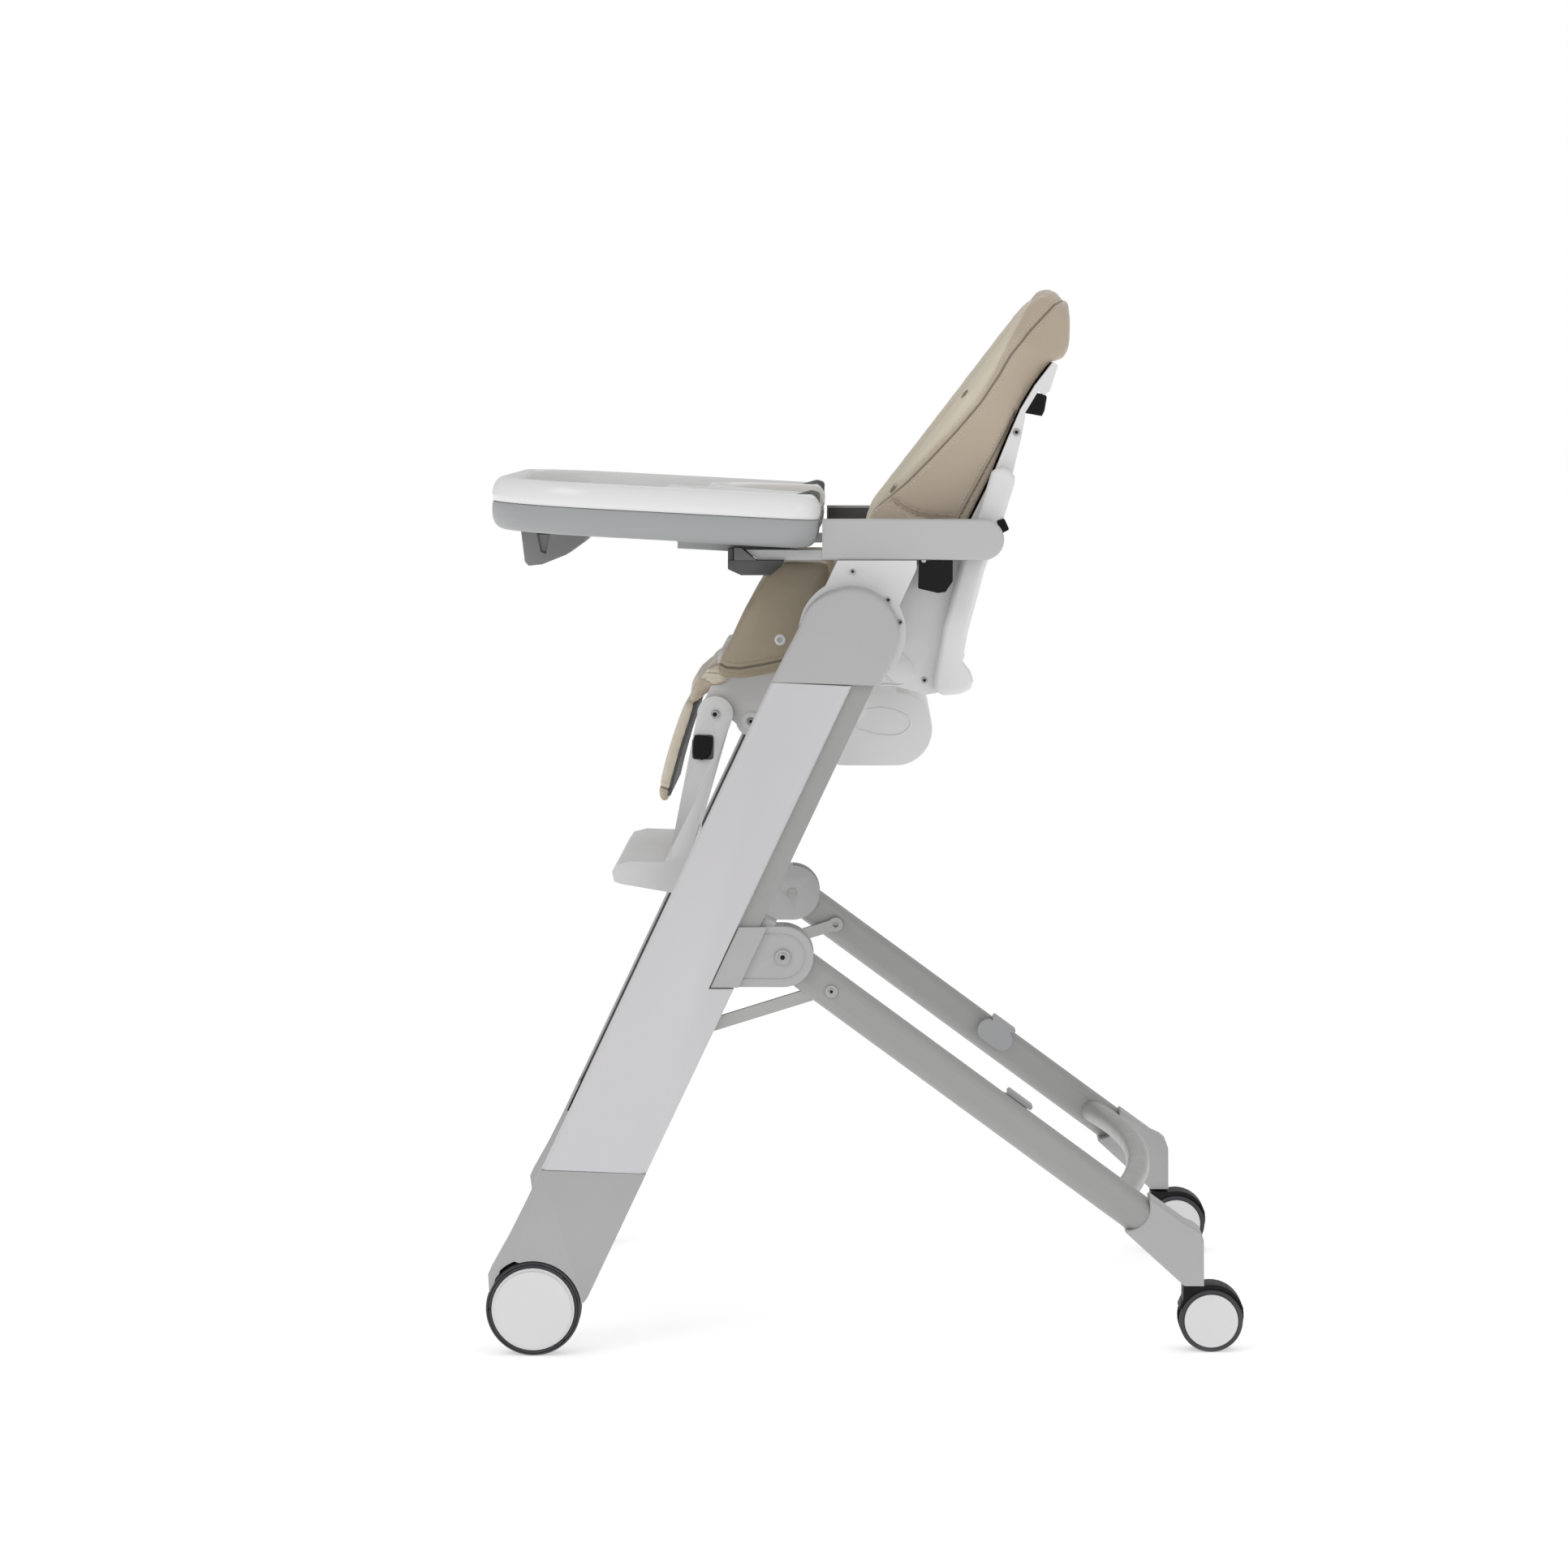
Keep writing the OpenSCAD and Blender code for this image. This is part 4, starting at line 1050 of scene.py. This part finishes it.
def harness(pad):
    front = pad_front(pad)
    for side, y in SIDES:
        line = []
        for i, z in enumerate(STRAP_LEVELS):
            middle = y * (STRAP_Y - STRAP_DRIFT * (i / (len(STRAP_LEVELS) - 1)) ** 1.6)
            lift = -0.0035 if i == 0 else 0.0016
            line.append((front(middle, z) + BACK_OUT * lift, ACROSS, BACK_OUT))
        strap = ribbon("shoulder_strap_" + side, line, [25] * len(line), 1.6, M["strap_grey"], "backrest")
        cover = ribbon("strap_pad_" + side, [(p + BACK_OUT * 0.003, a, f) for p, a, f in line[2:8]],
                       [34, 37, 38, 38, 37, 34], 6, M["pad_plain"], "backrest")
        edges = cover.modifiers.new("edges", "BEVEL")
        edges.width, edges.segments, edges.limit_method = 2 * MM, 3, "ANGLE"
        if y < 0:
            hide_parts("shoulder_straps")
        for level, (lx, length) in RIM_SLOTS.items():
            rim_slot(pad, side, y, lx, level - 1.2, length)
            belt_slot(side, front(y * STRAP_Y, level), level)
    line = []
    for i, (x, z) in enumerate(CROTCH):
        a, b = CROTCH[max(i - 1, 0)], CROTCH[min(i + 1, len(CROTCH) - 1)]
        way = Vector((b[0] - a[0], 0, b[1] - a[1])).normalized()
        line.append((Vector((x, 0, z)) * MM, ACROSS, way.cross(ACROSS)))
    strap = ribbon("crotch_webbing", line, [30] * len(line), 2.2, M["strap_grey"], "seat")
    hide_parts("crotch_strap")
    on_buckle = turned(-88, 736, 20)
    body = prism("buckle_body", rounded(BUCKLE, 3), -23, 23, M["black_plastic"], 2.6, 4, on_buckle)
    button = prism("buckle_button", rounded(BUCKLE_BUTTON, 1.2), -9, 9, M["lever_grey"], 1.2, 3, on_buckle)
    attach(body, "seat")
    attach(button, "seat")
    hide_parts("harness_buckle")


def tube_outline(name, line, y, width, body, slot):
    """A low bead along a line of (x, z) points, on the side face at Y = y."""
    curve = bpy.data.curves.new(name, "CURVE")
    curve.dimensions = "3D"
    curve.bevel_depth = width * MM
    curve.bevel_resolution = 2
    spline = curve.splines.new("BEZIER")
    spline.bezier_points.add(len(line) - 1)
    for point, (x, z) in zip(spline.bezier_points, line):
        point.co = Vector((x, y, z)) * MM
        point.handle_left_type = point.handle_right_type = "AUTO"
    curve.materials.append(M[slot])
    attach(placed(name, curve), body)


RELEASE = [(-173.5, 606.5), (-154.6, 604), (-156.5, 588), (-160, 583), (-166, 581.6), (-172, 583.2), (-175, 588)]
LEVER_WEB = [(-342, 804), (-338, 784), (-329, 782.5), (-325, 804)]
LATCH_RIM = [(14, 690), (33, 692), (44, 681), (46, 669), (38, 661), (20, 660), (2, 660)]
TUB_RIM = [(-8, 612), (-14, 624), (2, 632), (30, 630), (44, 620), (38, 609), (14, 606), (-8, 612)]
HUB_X, HUB_Z, HUB_R = -82, 398, 22
HUB_RIM = [(-120, 420), (-100, 420),
           *((HUB_X + HUB_R * math.cos(math.radians(a)), HUB_Z + HUB_R * math.sin(math.radians(a)))
             for a in range(90, -91, -20)),
           (-100, 376), (-126, 376)]
ARM_STOP = [(128, 824), (136, 826), (141, 815), (133, 811)]
SNAP_X, SNAP_Y, SNAP_Z = -86.5, 180.6, 704


def side_trim():
    for side, y in SIDES:
        node = "leg_rest_button_" + side
        button = prism("leg_rest_release_" + side, rounded(RELEASE, 2.5, 3), *span(y, 153.5, 163.4),
                       M["black_plastic"], 1.2, 3)
        attach(button, body_of[node])
        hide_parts(node)
    for y in (-36.5, 36.5):
        web = prism("lever_web", LEVER_WEB, y - 1.2, y + 1.2, M["lever_grey"], 0.5, 2)
        attach(web, body_of["tray_lever"])
    for side, y in SIDES:
        tube_outline("latch_rim_" + side, LATCH_RIM, y * 191.6, 0.9, "backrest", "shell_white")
        tube_outline("tub_rim_" + side, TUB_RIM, y * 147.7, 0.8, "seat", "shell_white")
        tube_outline("hub_rim_" + side, HUB_RIM, y * 281.9, 0.9, "fold_sliders", "cap_grey")
        stop = prism("arm_stop_" + side, rounded(ARM_STOP, 2), *span(y, 201, 208), M["black_plastic"], 1.0, 2)
        attach(stop, "backrest")
        place, way = (SNAP_X, y * SNAP_Y, SNAP_Z), (0, y, 0)
        snap = turned_part("flap_snap_" + side, [(5.6, 0), (5.6, 1.2), (4.6, 2.0), (3.2, 2.0), (2.4, 0.9)],
                           place, way, M["shell_white"])
        core = turned_part("flap_snap_core_" + side, [(2.6, 0.6), (2.6, 1.3)], place, way, M["steel"], 16)
        for piece, slot in ((snap, "shell_white"), (core, "steel")):
            smooth_by_angle(piece)
            attach(piece, "seat")


# ---- stage ----

SKY = 0.62          # even light from all round
FLOOR_GLOW = 0.44   # brings the far floor up to the dome's white
KEY = 26            # watts
FLOOR_R, DOME_R = 40, 39                    # metres
CAMERA_AT = (0.0027, -4.459, 0.965)
CAMERA_DOWN, CAMERA_TURN = 5.417, 1.144     # degrees
LENS = 98.44


def area_light(name, place, target, size, watts):
    lamp = bpy.data.lights.new(name, "AREA")
    lamp.shape = "RECTANGLE"
    lamp.size, lamp.size_y = size
    lamp.energy = watts
    obj = placed(name, lamp)
    obj.location = place
    obj.rotation_euler = (Vector(target) - Vector(place)).to_track_quat("-Z", "Y").to_euler()


def glowing(name, make, size, color, rough, glow, **sockets):
    """A stage piece that shines a little by itself."""
    bm = bmesh.new()
    make(bm, radius=size)
    mesh = bpy.data.meshes.new(name)
    bm.to_mesh(mesh)
    bm.free()
    s = Shader(name, color, rough, **sockets)
    s.bsdf.inputs["Emission Color"].default_value = (1, 1, 1, 1)
    s.bsdf.inputs["Emission Strength"].default_value = glow
    mesh.materials.append(s.mat)
    obj = placed(name, mesh)
    return obj, s


def build_stage():
    """A white floor that meets a white dome, so that no horizon shows from any side."""
    disc = partial(bmesh.ops.create_circle, cap_ends=True, segments=96)
    _, s = glowing("floor", disc, FLOOR_R, (0.9, 0.9, 0.9), 0.7, FLOOR_GLOW)
    s.color(s.mix(s.noise(3.0, 2.0), (0.89, 0.89, 0.89), (0.91, 0.91, 0.91)))
    ball = partial(bmesh.ops.create_uvsphere, u_segments=96, v_segments=48)
    dome, _ = glowing("dome", ball, DOME_R, (0, 0, 0), 1.0, 1.0, Specular_IOR_Level=0.0)
    for ray in ("diffuse", "glossy", "transmission", "volume_scatter", "shadow"):
        setattr(dome, "visible_" + ray, False)
    world = bpy.data.worlds.new("studio")
    world.use_nodes = True
    color, strength = world.node_tree.nodes["Background"].inputs[:2]
    color.default_value, strength.default_value = (1, 1, 1, 1), SKY
    scene.world = world
    area_light("key", (-2.2, -2.6, 3.4), (0, 0, 0.6), (2.0, 2.0), KEY)
    area_light("fill", (2.8, -2.4, 1.6), (0, 0, 0.5), (2.0, 2.0), 0.35 * KEY)
    area_light("back", (0.6, 2.8, 3.2), (0, 0, 0.5), (2.6, 2.6), 0.5 * KEY)
    scene.view_settings.view_transform = "Standard"
    data = bpy.data.cameras.new("camera")
    data.lens, data.sensor_width = LENS, 36
    data.clip_end = 200
    camera = placed("camera", data)
    camera.location = CAMERA_AT
    camera.rotation_euler = (math.radians(90 - CAMERA_DOWN), 0, math.radians(CAMERA_TURN))
    scene.camera = camera


shape_castings()
shape_catches()
shape_feet()
tray()
harness(back_pad())
seat_pads()
calf_pads()
screws()
side_trim()
build_stage()
